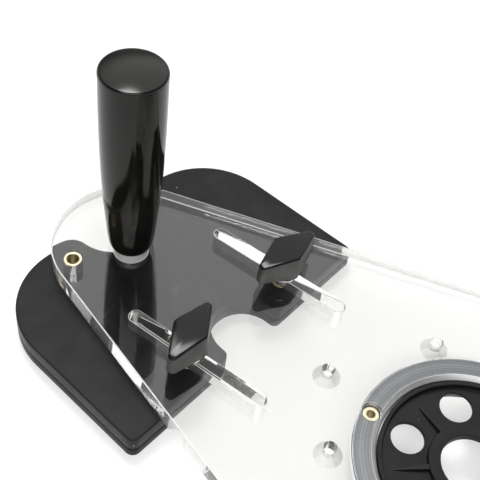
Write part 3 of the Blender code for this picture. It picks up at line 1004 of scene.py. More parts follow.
def make_looks(datum: Datum) -> Looks:
    """Make every material of the object and its stage.

    Args:
        datum: The shared places, which centre the lathe lines.

    Returns:
        The materials.
    """
    router, grip = (datum.router_x, 0.0), (datum.grip_x, 0.0)
    milled, ground = {"wave_scale": 260.0, "wave_share": 0.06}, {"wave_scale": 900.0}
    grip_black, grip_pale = (0.004, 0.0037, 0.003), (0.007, 0.0065, 0.005)
    # Each row starts with the colour and the two roughnesses that the wear runs between.
    finishes = (
        # The clear plate's tint is partly the acrylic's own and partly painted shadow: it darkens the floor
        # seen through the plate, standing in for the plate's shadow on it.
        ClearAcrylic(Look.CLEAR, (0.852, 0.854, 0.845), 0.0, 0.12, 1.0, 40.0, 0.008),
        ClearAcrylic(Look.MILLED, (0.962, 0.964, 0.955), 0.03, 0.3, clear=0.93, **milled),
        ClearAcrylic(Look.SAWN, (0.962, 0.966, 0.955), 0.03, 0.2, clear=0.84, **milled),
        ClearAcrylic(Look.FROSTED, (0.95, 0.955, 0.945), 0.4, 0.6, clear=0.38, wave_share=0.3, **ground),
        ClearAcrylic(Look.EASED, (0.97, 0.975, 0.97), 0.2, 0.4, clear=0.22, wave_share=0.2, **ground),
        BlackPlastic(
            Look.FOOT, (0.012, 0.012, 0.013), 0.36, 0.46, (0.02, 0.02, 0.021), specular=0.12,
            grain_scale=1500.0, grain_share=0.02, dust_scale=120.0, dust_share=0.12,
        ),
        BlackPlastic(
            Look.GRIP, grip_black, 0.07, 0.14, grip_pale, specular=0.26,
            grain_scale=420.0, grain_depth=0.00003, grain_share=0.2,
        ),
        BlackPlastic(
            Look.CROWN, grip_black, 0.14, 0.2, grip_pale, specular=0.28,
            grain_scale=420.0, grain_share=0.1,
        ),
        BlackPlastic(
            Look.KNOB, (0.004, 0.004, 0.0042), 0.09, 0.15, (0.007, 0.007, 0.0072), specular=0.22,
            dust_scale=300.0,
        ),
        # The knob's sides and underside: the same black plastic with a coarser grain, but a paler colour
        # that is painted light, standing in for the floor's light on them.
        BlackPlastic(
            Look.GRAINED_LIT, (0.02, 0.02, 0.0195), 0.35, 0.5, (0.05, 0.049, 0.047), specular=0.55,
            grain_scale=1300.0, grain_share=0.8, dust_scale=300.0, dust_share=0.05,
        ),
        BlackPlastic(
            Look.DISC, (0.004, 0.0043, 0.005), 0.4, 0.52, (0.008, 0.0085, 0.0095), specular=0.2,
            grain_share=0.5, dust_scale=140.0, dust_share=0.1, dust_colour=(0.12, 0.12, 0.12),
        ),
        # The ring's flat and its bevel are one aluminium. The flat's colour is darkened as painted shade,
        # and the bevel's paler colour is a painted highlight.
        TurnedMetal(
            Look.RING, (0.115, 0.119, 0.125), 0.26, 0.4, (0.18, 0.185, 0.19), router,
            lines=800.0, share=0.12,
        ),
        TurnedMetal(Look.BEVEL, (0.52, 0.525, 0.53), 0.42, 0.55, (0.66, 0.665, 0.67), router),
        TurnedMetal(Look.STEEL, (0.60, 0.60, 0.60), 0.16, 0.28, (0.72, 0.72, 0.72), grip),
        TurnedMetal(Look.DARK_STEEL, (0.008, 0.008, 0.008), 0.5, 0.6, (0.014, 0.014, 0.014), grip),
        TurnedMetal(Look.BRASS, (0.50, 0.44, 0.28), 0.32, 0.48, (0.66, 0.59, 0.42), lines=3000.0),
        PaleFloor(Look.FLOOR, (0.60, 0.60, 0.597), 0.9, 0.9, (0.62, 0.62, 0.617)),
    )
    effects = {kind: kind().tree for kind in EFFECTS}
    return {finish.look: finish.make(effects) for finish in finishes}


# Fasteners


@dataclass
class Fasteners:
    """Threads, key sockets and threaded inserts, which the sub-assemblies share."""

    datum: Datum
    looks: Looks
    pitch: float = 0.00127
    ridge_depth: float = 0.00034
    insert_rim: float = 0.0005
    knurl_count: int = 36
    knurl_width: float = 0.00034
    threads: ThreadTree = field(default_factory=ThreadTree)
    circles: CircleTree = field(default_factory=CircleTree)

    def thread(self, metal: Material, radius: float, depth: float, low: float, high: float) -> Item:
        """Make a thread ridge about Z.

        Args:
            metal: Its material.
            radius: The radius of the ridge's middle.
            depth: How far the ridge stands to each side of it.
            low: The ridge's lower end.
            high: The ridge's upper end.

        Returns:
            The ridge.
        """
        length = high - low - 2 * depth
        sizes = {"Radius": radius, "Turns": length / self.pitch, "Length": length}
        ridge = self.threads.run("thread", sizes | {"Depth": depth, "Material": metal})
        ridge.data.transform(Matrix.Translation((0.0, 0.0, low + depth)))
        return ridge

    def knurl(self, metal: Material, radius: float, low: float, high: float) -> Item:
        """Make the straight knurl round an insert.

        Args:
            metal: Its material.
            radius: The radius that its ribs reach.
            low: Its lower end.
            high: Its upper end.

        Returns:
            The knurl.
        """
        half, root = self.knurl_width / 2, radius - self.knurl_width
        corners = [(root, -half), (radius - half, -half), (radius, 0.0), (radius - half, half), (root, half)]
        draft = MeshDraft()
        rings = [draft.ring((x, y, z) for x, y in corners) for z in (low, high)]
        draft.skin(rings)
        draft.close(rings)
        rib = draft.finish("knurl_rib", [metal])
        return self.circles.repeat("knurl", rib, {"Count": self.knurl_count, "Phase": 0.0})

    def insert(
        self, name: str, body: Body, place: Vector, low: float, high: float, outer: float, bore: float
    ) -> None:
        """Make a threaded brass insert and seat it.

        Args:
            name: The piece's name.
            body: The body that it rides on.
            place: Its axis.
            low: Its lower end.
            high: Its upper end.
            outer: Its outer radius.
            bore: The radius of its bore.
        """
        brass, rim = self.looks[Look.BRASS], self.insert_rim
        waist = outer - self.knurl_width / 2
        corners = [(bore, low, rim), (outer, low, rim), (outer, low + 2 * rim, 0.0)]
        corners += [(waist, low + 3 * rim, 0.0), (waist, high - 3 * rim, 0.0)]
        corners += [(outer, high - 2 * rim, 0.0), (outer, high, rim), (bore, high, rim)]
        shell = turned("insert_shell", eased(corners), [brass])
        knurl = self.knurl(brass, outer, low + 2 * rim, high - 2 * rim)
        thread = self.thread(brass, bore, self.ridge_depth / 2, low + rim, high - rim)
        item = join(name, (shell, knurl, thread), Matrix.Translation(place))
        seat(item, body, Slot.BRASS, name.replace("brass", "insert"))

    def bar(self, low: float, high: float, chamfer: float) -> tuple[list[Point], Item]:
        """Make the wall and the ridge of a threaded bar about Z.

        Args:
            low: The bar's lower end.
            high: The bar's upper end.
            chamfer: The chamfer at its ends.

        Returns:
            The core's wall, from the bottom up, and the ridge.
        """
        core = self.datum.thread_radius - self.ridge_depth
        wall = [(core - chamfer, low), (core, low + chamfer)]
        wall += [(core, high - chamfer), (core - chamfer, high)]
        steel = self.looks[Look.STEEL]
        return wall, self.thread(steel, core, self.ridge_depth, low + chamfer, high - chamfer)

    def cut_key(self, screw: Item, low: float, across: float, depth: float) -> None:
        """Cut the hexagonal socket into a screw's head.

        Args:
            screw: The screw, with its head down.
            low: The head's underside.
            across: The socket's width across its flats.
            depth: The socket's depth.
        """
        radius = across / math.sqrt(3)
        wall = solid((radius, low - self.datum.overrun), (radius, low + depth))
        carve(screw, turned("key_cutter", wall, screw.data.materials[:1], steps=6))


# Sub-assemblies


@dataclass
class SubAssembly:
    """What every sub-assembly is given."""

    datum: Datum
    looks: Looks
    fasteners: Fasteners

    def finish(self, *looks: Look) -> list[Material]:
        """Return the materials of some finishes."""
        return [self.looks[look] for look in looks]


@dataclass
class BasePlate(SubAssembly):
    """The clear teardrop plate with its slots, stepped opening, holes and inserts."""

    grip_end_radius: float = 0.0454
    router_end_radius: float = 0.1116
    outline_spacing: float = 2.0
    edge_round: float = 0.0006
    slot_start: float = 0.0316
    slot_end: float = 0.1220
    slot_width: float = 0.0085
    slot_across: float = 0.0385
    slot_spacing: float = 6.0
    ease: float = 0.0004
    opening_radius: float = 0.0455
    near_hole_radius: float = 0.0725
    near_hole_bearings: tuple[float, ...] = (133.0, -148.0, 13.0, -107.0, 93.0, -28.0)
    far_hole_radius: float = 0.0868
    far_hole_bearings: tuple[float, ...] = (180.0, 60.0, -60.0)
    hole_radius: float = 0.0036
    countersink_radius: float = 0.0076
    countersink_depth: float = 0.0052
    insert_radius: float = 0.0053
    insert_along: float = -0.0168
    insert_across: float = 0.0306
    pocket_radius: float = 0.0099

    def outline(self) -> Outline:
        """Return the plate's teardrop outline.

        Returns:
            The outline, of an arc at each end.
        """
        run = self.datum.router_x - self.datum.grip_x
        meet = 90 + math.degrees(math.asin((self.router_end_radius - self.grip_end_radius) / run))
        grip_end = Arc(self.datum.grip_x, 0.0, self.grip_end_radius, meet, 360 - 2 * meet)
        router_end = Arc(self.datum.router_x, 0.0, self.router_end_radius, -meet, 2 * meet)
        return Outline((grip_end, router_end), self.outline_spacing)

    def slot_cutter(self, across: float) -> Item:
        """Make the cutter of one adjusting slot, whose edges it eases.

        Args:
            across: The slot's distance from the centre line.

        Returns:
            The cutter.
        """
        datum, ease, radius = self.datum, self.ease, self.slot_width / 2
        start = Arc(datum.grip_x + self.slot_start + radius, across, radius, 90, 180)
        end = Arc(datum.grip_x + self.slot_end - radius, across, radius, -90, 180)
        flare = datum.overrun + ease
        levels = [(-flare, datum.plate_bottom - datum.overrun), (0.0, datum.plate_bottom + ease)]
        levels += [(0.0, datum.plate_top - ease), (-flare, datum.plate_top + datum.overrun)]
        draft = MeshDraft()
        draft.stack(Outline((start, end), self.slot_spacing), levels, slope=1)
        return draft.finish("slot_cutter", self.finish(Look.MILLED, Look.EASED))

    def router_holes(self) -> list[Vector]:
        """Return the places of the countersunk holes.

        Returns:
            The places, the near ones first.
        """
        near = [(self.near_hole_radius, bearing) for bearing in self.near_hole_bearings]
        far = [(self.far_hole_radius, bearing) for bearing in self.far_hole_bearings]
        return [bearing_place((self.datum.router_x, 0.0), *hole) for hole in near + far]

    def build(self, ring: "OpeningRing") -> None:
        """Build the plate and its two brass inserts, and seat them.

        Args:
            ring: The ring, whose inserts go through the plate.
        """
        datum, gap, ease = self.datum, self.datum.gap, self.ease
        bottom, top = datum.plate_bottom, datum.plate_top
        low, high = bottom - datum.overrun, top + datum.overrun
        draft = MeshDraft()
        draft.stack(self.outline(), slab_levels(bottom, top, self.edge_round), wall=1, slope=2)
        plate = draft.finish("plate_clear", self.finish(Look.CLEAR, Look.SAWN, Look.EASED))
        shelf, wall = top - datum.ring_thickness - gap, datum.ring_radius + gap
        opening = [(self.opening_radius, low), (self.opening_radius, shelf), (wall, shelf)]
        opening += [(wall, top - ease), (wall + ease + datum.overrun, high)]
        sink = [(self.countersink_radius, low), (self.countersink_radius, bottom)]
        sink += [(self.hole_radius, bottom + self.countersink_depth), (self.hole_radius, high)]
        shank, ceiling = datum.thread_radius + gap, bottom + datum.pocket_depth
        pocket = [(self.pocket_radius + ease + datum.overrun, low), (self.pocket_radius, bottom + ease)]
        pocket += [(self.pocket_radius, ceiling), (shank, ceiling), (shank, high)]
        small, large = ring.insert_radius + gap, self.insert_radius + gap
        x = datum.grip_x + self.insert_along
        inserts = [Vector((x, sign * self.insert_across, 0.0)) for sign in (-1, 1)]
        milled, rims = self.finish(Look.MILLED), self.finish(Look.EASED)
        cutters = [self.slot_cutter(sign * self.slot_across) for sign in (-1, 1)]
        for section, finish, steps, places in (
            (opening, milled + rims, 180, [on_axis(datum.router_x)]),
            (sink, milled + self.finish(Look.FROSTED), 48, self.router_holes()),
            (pocket, rims, 96, [on_axis(datum.grip_x)]),
            ([(large, low), (large, high)], milled, 48, inserts),
            ([(small, low), (small, high)], milled, 48, ring.insert_places()),
        ):
            cutters.append(turned("bore_cutter", solid(*section), finish, steps, places))
        flatten_flats(carve(plate, *cutters))
        seat(plate, Body.BASE, Slot.ACRYLIC, "base_plate")
        for side, place in zip(SIDES, inserts):
            name, ends = f"plate_brass_{side}", (bottom + gap, top - gap)
            self.fasteners.insert(name, Body.BASE, place, *ends, self.insert_radius, shank)


@dataclass
class OpeningRing(SubAssembly):
    """The turned metal ring in the router opening, with its four inserts."""

    inner_radius: float = 0.0492
    bevel_radius: float = 0.0517
    bevel_depth: float = 0.0022
    edge_round: float = 0.0003
    insert_count: int = 4
    insert_pitch_radius: float = 0.0560
    insert_phase: float = -172.5
    insert_radius: float = 0.0046
    insert_bore: float = 0.0022
    counterbore_radius: float = 0.0053
    counterbore_depth: float = 0.0025

    def insert_places(self) -> list[Vector]:
        """Return the places of the ring's inserts."""
        centre = (self.datum.router_x, 0.0)
        return round_places(centre, self.insert_pitch_radius, self.insert_phase, self.insert_count)

    def build(self) -> None:
        """Build the ring and its brass inserts, and seat them."""
        datum, over, ease = self.datum, self.datum.overrun, self.edge_round
        top, outer, inner = datum.plate_top, datum.ring_radius, self.inner_radius
        low = top - datum.ring_thickness
        corners = [(inner, low, ease), (outer, low, ease), (outer, top, ease)]
        corners += [(self.bevel_radius, top, ease), (inner, top - self.bevel_depth, ease)]
        # The bevel and the counterbore walls take the paler copy, a painted highlight.
        metals = self.finish(Look.RING, Look.BEVEL)
        ring = turned("ring_metal", eased(corners), metals, steps=240, places=[on_axis(datum.router_x)])
        floor = top - self.counterbore_depth
        narrow, wide = self.insert_radius + datum.gap, self.counterbore_radius
        wall = [(narrow, low - over), (narrow, floor), (wide, floor), (wide, top - ease)]
        wall += [(wide + over + ease, top + over)]
        places = self.insert_places()
        flatten_flats(carve(ring, turned("ring_cutter", solid(*wall), metals[1:], places=places)))
        seat(ring, Body.BASE, Slot.ALUMINIUM, "opening_ring")
        ends = (datum.plate_bottom + datum.gap, top - self.counterbore_depth - datum.gap)
        for number, place in enumerate(places, 1):
            sizes = (*ends, self.insert_radius, self.insert_bore)
            self.fasteners.insert(f"ring_brass_{number}", Body.BASE, place, *sizes)


@dataclass
class GuideDisc(SubAssembly):
    """The moulded drop-in disc: rim, web with windows, hub and sloping gussets."""

    radius: float = 0.0486
    drop: float = 0.0016
    thickness: float = 0.0049
    web: float = 0.0020
    lip: float = 0.0024
    edge_round: float = 0.0004
    fillet: float = 0.0007
    hub_radius: float = 0.0227
    bore_radius: float = 0.0164
    window_count: int = 6
    window_radius: float = 0.0088
    window_pitch_radius: float = 0.0343
    window_phase: float = 130.5
    window_ease: float = 0.0003
    gusset_width: float = 0.0028
    gusset_end_radius: float = 0.0405
    gusset_tip_height: float = 0.0002
    gusset_tip_share: float = 0.3

    def build(self) -> None:
        """Build the disc and seat it."""
        over, moulded, centre = self.datum.overrun, self.finish(Look.DISC), (self.datum.router_x, 0.0)
        top = self.datum.plate_top - self.drop
        low, inner, ease, fillet = top - self.thickness, self.radius - self.lip, self.edge_round, self.fillet
        web_top = low + self.web
        corners = [(self.bore_radius, low, ease), (self.radius, low, ease), (self.radius, top, ease)]
        corners += [(inner, top, ease), (inner, web_top, fillet), (self.hub_radius, web_top, fillet)]
        corners += [(self.hub_radius, top, ease), (self.bore_radius, top, ease)]
        disc = turned("disc_black", eased(corners), moulded, steps=216, places=[on_axis(centre[0])])
        radius, ease = self.window_radius, self.window_ease
        wall = [(radius + over + ease, low - over), (radius, low + ease)]
        wall += [(radius, web_top - ease), (radius + over + ease, web_top + over)]
        places = round_places(centre, self.window_pitch_radius, self.window_phase, self.window_count)
        carve(disc, turned("window_cutter", solid(*wall), moulded, steps=64, places=places))
        carve(disc, self.gussets(web_top, top), operation="UNION")
        flatten_flats(disc)
        seat(disc, Body.DISC, Slot.MOULDED, "guide_disc")

    def gussets(self, web_top: float, top: float) -> Item:
        """Make the gussets about the disc's axis, one between each two windows.

        Args:
            web_top: The top of the web.
            top: The top of the disc.

        Returns:
            The gussets.
        """
        inner, end = (self.bore_radius + self.hub_radius) / 2, self.gusset_end_radius
        root, high = web_top - self.web / 2, top - self.edge_round
        shape = [(inner, root, 1.0), (end, root, 1.0)]
        shape += [(end, web_top + self.gusset_tip_height, self.gusset_tip_share)]
        shape += [(self.hub_radius, high, 1.0), (inner, high, 1.0)]
        draft = MeshDraft()
        halves = (-self.gusset_width / 2, self.gusset_width / 2)
        sides = [draft.ring((x, half * share, z) for x, z, share in shape) for half in halves]
        draft.skin(sides)
        draft.face(sides[0])
        draft.face(reversed(sides[1]))
        rib = draft.finish("gusset_rib", self.finish(Look.DISC))
        phase = math.radians(self.window_phase + 180 / self.window_count)
        sizes = {"Count": self.window_count, "Phase": phase}
        ribs = self.fasteners.circles.repeat("disc_gussets", rib, sizes)
        ribs.data.transform(Matrix.Translation(on_axis(self.datum.router_x)))
        return ribs


@dataclass
class HandGrip(SubAssembly):
    """The turned gloss grip with its collar, insert and the screw that holds it."""

    length: float = 0.1244
    neck_radius: float = 0.0129
    radius: float = 0.0174
    crown_edge: float = 0.0015
    crown_tilt: float = 12.0
    crown_steps: int = 16
    height_shares: tuple[float, ...] = (0.0, 0.05, 0.12, 0.25, 0.37, 0.5, 0.68, 0.83, 1.0)
    swell_shares: tuple[float, ...] = (0.0, 0.16, 0.30, 0.56, 0.74, 0.87, 0.97, 1.0, 1.0)
    swell_steps: int = 48
    collar_radius: float = 0.0118
    collar_height: float = 0.0031
    collar_round: float = 0.0008
    insert_radius: float = 0.0055
    insert_length: float = 0.0220
    screw_reach: float = 0.0180
    screw_chamfer: float = 0.0004
    head_radius: float = 0.0085
    head_height: float = 0.0050
    key_across: float = 0.0040
    key_depth: float = 0.0022

    def section(self, foot: float) -> list[Point]:
        """Return the grip's section from the bore's end round to the crown.

        Args:
            foot: The grip's lower end.

        Returns:
            The (radius, height) pairs.
        """
        edge, tilt, ease = self.crown_edge, math.radians(self.crown_tilt), self.collar_round
        dome = (self.radius - edge) / math.sin(tilt) + edge
        straight = self.length - (dome - edge) * (1 - math.cos(tilt)) - edge
        bore = self.insert_radius + self.datum.gap
        pairs = [(bore, foot + self.insert_length + self.datum.gap), (bore, foot)]
        pairs += [(self.neck_radius - inset, foot + lift) for inset, lift in reversed(rim_steps(ease, 4))]
        for step in range(1, self.swell_steps + 1):
            share = step / self.swell_steps
            rise = smooth_through(self.height_shares, self.swell_shares, share)
            radius = self.neck_radius + (self.radius - self.neck_radius) * rise
            pairs.append((radius, foot + ease + share * (straight - ease)))
        for step in range(1, self.crown_steps + 1):
            angle = (math.pi / 2 - tilt) * step / self.crown_steps
            out, lift = edge * math.cos(angle), edge * math.sin(angle)
            pairs.append((self.radius - edge + out, foot + straight + lift))
        for step in range(self.crown_steps - 1, 0, -1):
            angle = tilt * step / self.crown_steps
            pairs.append((dome * math.sin(angle), foot + self.length - dome * (1 - math.cos(angle))))
        return [(0.0, pairs[0][1]), *pairs, (0.0, foot + self.length)]

    def build(self) -> None:
        """Build the grip and its fittings, and seat them."""
        datum, gap = self.datum, self.datum.gap
        axis, tapped = on_axis(datum.grip_x), datum.thread_radius + gap
        foot = datum.plate_top + self.collar_height + gap
        black = self.finish(Look.GRIP, Look.CROWN)
        grip = turned("grip_black", self.section(foot), black, steps=128, places=[axis])
        brim = foot + self.length - self.radius * math.tan(math.radians(self.crown_tilt))
        for face in grip.data.polygons:
            face.material_index = int(face.center.z > brim)
        seat(grip, Body.BASE, Slot.GLOSS, "hand_grip")
        low, high = datum.plate_top + gap, datum.plate_top + self.collar_height
        section = band(tapped, self.collar_radius, low, high, (self.collar_round / 2, self.collar_round))
        collar = turned("collar_steel", section, self.finish(Look.DARK_STEEL), steps=96, places=[axis])
        seat(collar, Body.BASE, Slot.STEEL, "grip_collar")
        ends = (foot + gap, foot + self.insert_length)
        self.fasteners.insert("grip_brass", Body.BASE, axis, *ends, self.insert_radius, tapped)
        self.build_screw(axis, foot)

    def build_screw(self, axis: Vector, foot: float) -> None:
        """Build the cheese-head screw that holds the grip from below, and seat it.

        Args:
            axis: Its axis.
            foot: The grip's lower end.
        """
        neck = self.datum.plate_bottom + self.datum.pocket_depth - self.datum.gap
        low, edge, ease = neck - self.head_height, self.head_radius, self.collar_round
        bar, ridge = self.fasteners.bar(neck, foot + self.screw_reach, self.screw_chamfer)
        wall = [(edge - ease, low), (edge, low + ease), (edge, neck), (bar[1][0], neck), *bar[2:]]
        core = turned("screw_core", solid(*wall), self.finish(Look.DARK_STEEL))
        self.fasteners.cut_key(core, low, self.key_across, self.key_depth)
        screw = join("screw_steel", (core, ridge), Matrix.Translation(axis))
        seat(screw, Body.BASE, Slot.STEEL, "grip_screw")


@dataclass
class StabiliserFoot(SubAssembly):
    """The two-layer foot with its layer screws and stud inserts."""

    edge_round: float = 0.0008
    lobe_along: float = 0.0128
    lobe_across: float = 0.0444
    lobe_radius: float = 0.0456
    flare: float = 1.5
    corner_radius: float = 0.0050
    front: float = 0.0897
    notch_setback: float = 0.0057
    notch_radius: float = 0.0200
    notch_corner_radius: float = 0.0040
    dip_along: float = -0.0230
    dip_radius: float = 0.0240
    dip_corner_radius: float = 0.0110
    outline_spacing: float = 2.5
    stud_along: float = 0.0761
    insert_radius: float = 0.0053
    screw_shares: tuple[Point, ...] = ((0.02, 0.88), (-0.10, 0.30), (0.92, 0.86), (0.45, 0.45))
    screw_radius: float = 0.0021
    screw_head_radius: float = 0.0041
    screw_head_height: float = 0.0024
    screw_reach: float = 0.0055
    key_across: float = 0.0024
    key_depth: float = 0.0014

    def place(self) -> Matrix:
        """Return the matrix from the foot's own frame, about its left stud, to the model's."""
        return standing(self.datum.left_stud, self.datum.foot_turn)

    def stud_spacing(self) -> float:
        """Return the distance between the studs."""
        return (Vector(self.datum.right_stud) - Vector(self.datum.left_stud)).length

    def half_arcs(self) -> list[Arc]:
        """Return the arcs of the +Y half.

        Returns:
            The arcs, from the notch round to the dip behind.
        """
        flare, leaning = math.radians(self.flare), 90 + self.flare
        side_x = self.lobe_along - self.lobe_radius * math.sin(flare)
        side_y = self.lobe_across + self.lobe_radius * math.cos(flare)
        corner_x = self.front - self.corner_radius
        rise = (corner_x - side_x) * math.tan(flare)
        corner_y = side_y + rise - self.corner_radius / math.cos(flare)
        inner_y = self.notch_radius + self.notch_corner_radius
        lobe, dip = Vector((self.lobe_along, self.lobe_across)), Vector((self.dip_along, 0.0))
        reach = self.dip_radius + self.dip_corner_radius
        ease = self.meeting(dip, reach, lobe, self.lobe_radius - self.dip_corner_radius)
        leave, arrive = self.bearing(lobe, ease) % 360, self.bearing(ease, dip) % 360
        dip_start = self.bearing(dip, ease)
        return [
            Arc(self.front - self.notch_setback, 0.0, self.notch_radius, 180, -90),
            Arc(self.front - self.notch_corner_radius, inner_y, self.notch_corner_radius, -90, 90),
            Arc(corner_x, corner_y, self.corner_radius, 0, leaning),
            Arc(*lobe, self.lobe_radius, leaning, leave - 90 - self.flare),
            Arc(*ease, self.dip_corner_radius, leave, arrive - leave),
            Arc(*dip, self.dip_radius, dip_start, -dip_start),
        ]

    @staticmethod
    def meeting(first: Vector, first_radius: float, second: Vector, second_radius: float) -> Vector:
        """Return the upper place where two circles cross.

        Args:
            first: The first circle's centre.
            first_radius: Its radius.
            second: The second circle's centre.
            second_radius: Its radius.

        Returns:
            The place.
        """
        step = second - first
        along = (step.length**2 + first_radius**2 - second_radius**2) / (2 * step.length)
        across = math.sqrt(first_radius**2 - along**2)
        unit = step.normalized()
        return first + unit * along + Vector((-unit.y, unit.x)) * across

    @staticmethod
    def bearing(origin: Vector, target: Vector) -> float:
        """Return the bearing of one place from another."""
        return math.degrees(math.atan2(target.y - origin.y, target.x - origin.x))

    def outline(self) -> Outline:
        """Return the foot's outline, counted from its left stud.

        Returns:
            The outline, of the two mirrored halves.
        """
        half = self.half_arcs()
        mirrored = [Arc(a.x, -a.y, a.radius, -(a.start + a.sweep), a.sweep) for a in reversed(half)]
        middle = self.stud_spacing() / 2
        moved = [replace(arc, x=arc.x - self.stud_along, y=arc.y + middle) for arc in mirrored + half]
        return Outline(tuple(moved), self.outline_spacing)

    def screw_places(self) -> list[Vector]:
        """Return the places of the layer screws from the left stud.

        Returns:
            The places, a mirrored pair for each share.
        """
        half_width, middle = self.lobe_across + self.lobe_radius, self.stud_spacing() / 2
        places = []
        for along, across in self.screw_shares:
            for sign in (-1, 1):
                y = sign * across * half_width + middle
                places.append(Vector((along * self.front - self.stud_along, y, 0.0)))
        return places

    def screw_seats(self) -> Item:
        """Make the cutter of the layer screws' seats.

        Returns:
            The cutter.
        """
        gap, over = self.datum.gap, self.datum.overrun
        slope = gap * math.sqrt(2)
        head, shank = self.screw_head_radius + slope, self.screw_radius + gap
        wall = [(head, -over), (head, gap), (shank, gap + self.screw_head_height + slope)]
        wall += [(shank, self.datum.foot_layer + self.screw_reach + gap)]
        places = self.screw_places()
        return turned("screw_seats", solid(*wall), self.finish(Look.FOOT), steps=36, places=places)

    def build_layer(self, side: str, low: float, high: float, *cutters: Item) -> None:
        """Build one layer of the foot and seat it.

        Args:
            side: Upper or lower.
            low: Its underside.
            high: Its top.
            cutters: What is cut from it.
        """
        draft = MeshDraft()
        draft.stack(self.outline(), slab_levels(low, high, self.edge_round))
        item = draft.finish(f"foot_sheet_{side}", self.finish(Look.FOOT))
        flatten_flats(carve(item, *cutters))
        item.data.transform(self.place())
        seat(item, Body.FOOT, Slot.SHEET, f"foot_{side}_plate")

    def build(self) -> None:
        """Build the foot and its fittings, and seat them."""
        datum, gap = self.datum, self.datum.gap
        layer, top = datum.foot_layer, datum.foot_top
        studs = [Vector(), Vector((0.0, self.stud_spacing(), 0.0))]
        wide = self.insert_radius + gap
        section = solid((wide, layer - datum.overrun), (wide, top + datum.overrun))
        stud_seats = turned("stud_seats", section, self.finish(Look.FOOT), places=studs)
        self.build_layer("upper", layer, top, stud_seats, self.screw_seats())
        self.build_layer("lower", 0.0, layer - gap, self.screw_seats())
        sizes = (layer + gap, top - gap, self.insert_radius, datum.thread_radius + gap)
        for side, stud in zip(SIDES, studs):
            self.fasteners.insert(f"stud_brass_{side}", Body.FOOT, self.place() @ stud, *sizes)
        self.build_screws()

    def build_screws(self) -> None:
        """Build the layer screws as copies of one, and seat them."""
        gap, head, shank = self.datum.gap, self.screw_head_radius, self.screw_radius
        top = self.datum.foot_layer + self.screw_reach - gap
        wall = [(head - gap, gap), (head, 2 * gap), (shank, gap + self.screw_head_height)]
        wall += [(shank, top - gap), (shank - gap, top)]
        pattern = turned("layer_screw", solid(*wall), self.finish(Look.STEEL), steps=32)
        self.fasteners.cut_key(pattern, gap, self.key_across, self.key_depth)
        places = [self.place() @ place for place in self.screw_places()]
        screws = ScatterTree().repeat("foot_steel_screws", pattern, {}, places)
        seat(screws, Body.FOOT, Slot.STEEL, *(f"foot_screw_{n}" for n in range(1, len(places) + 1)))


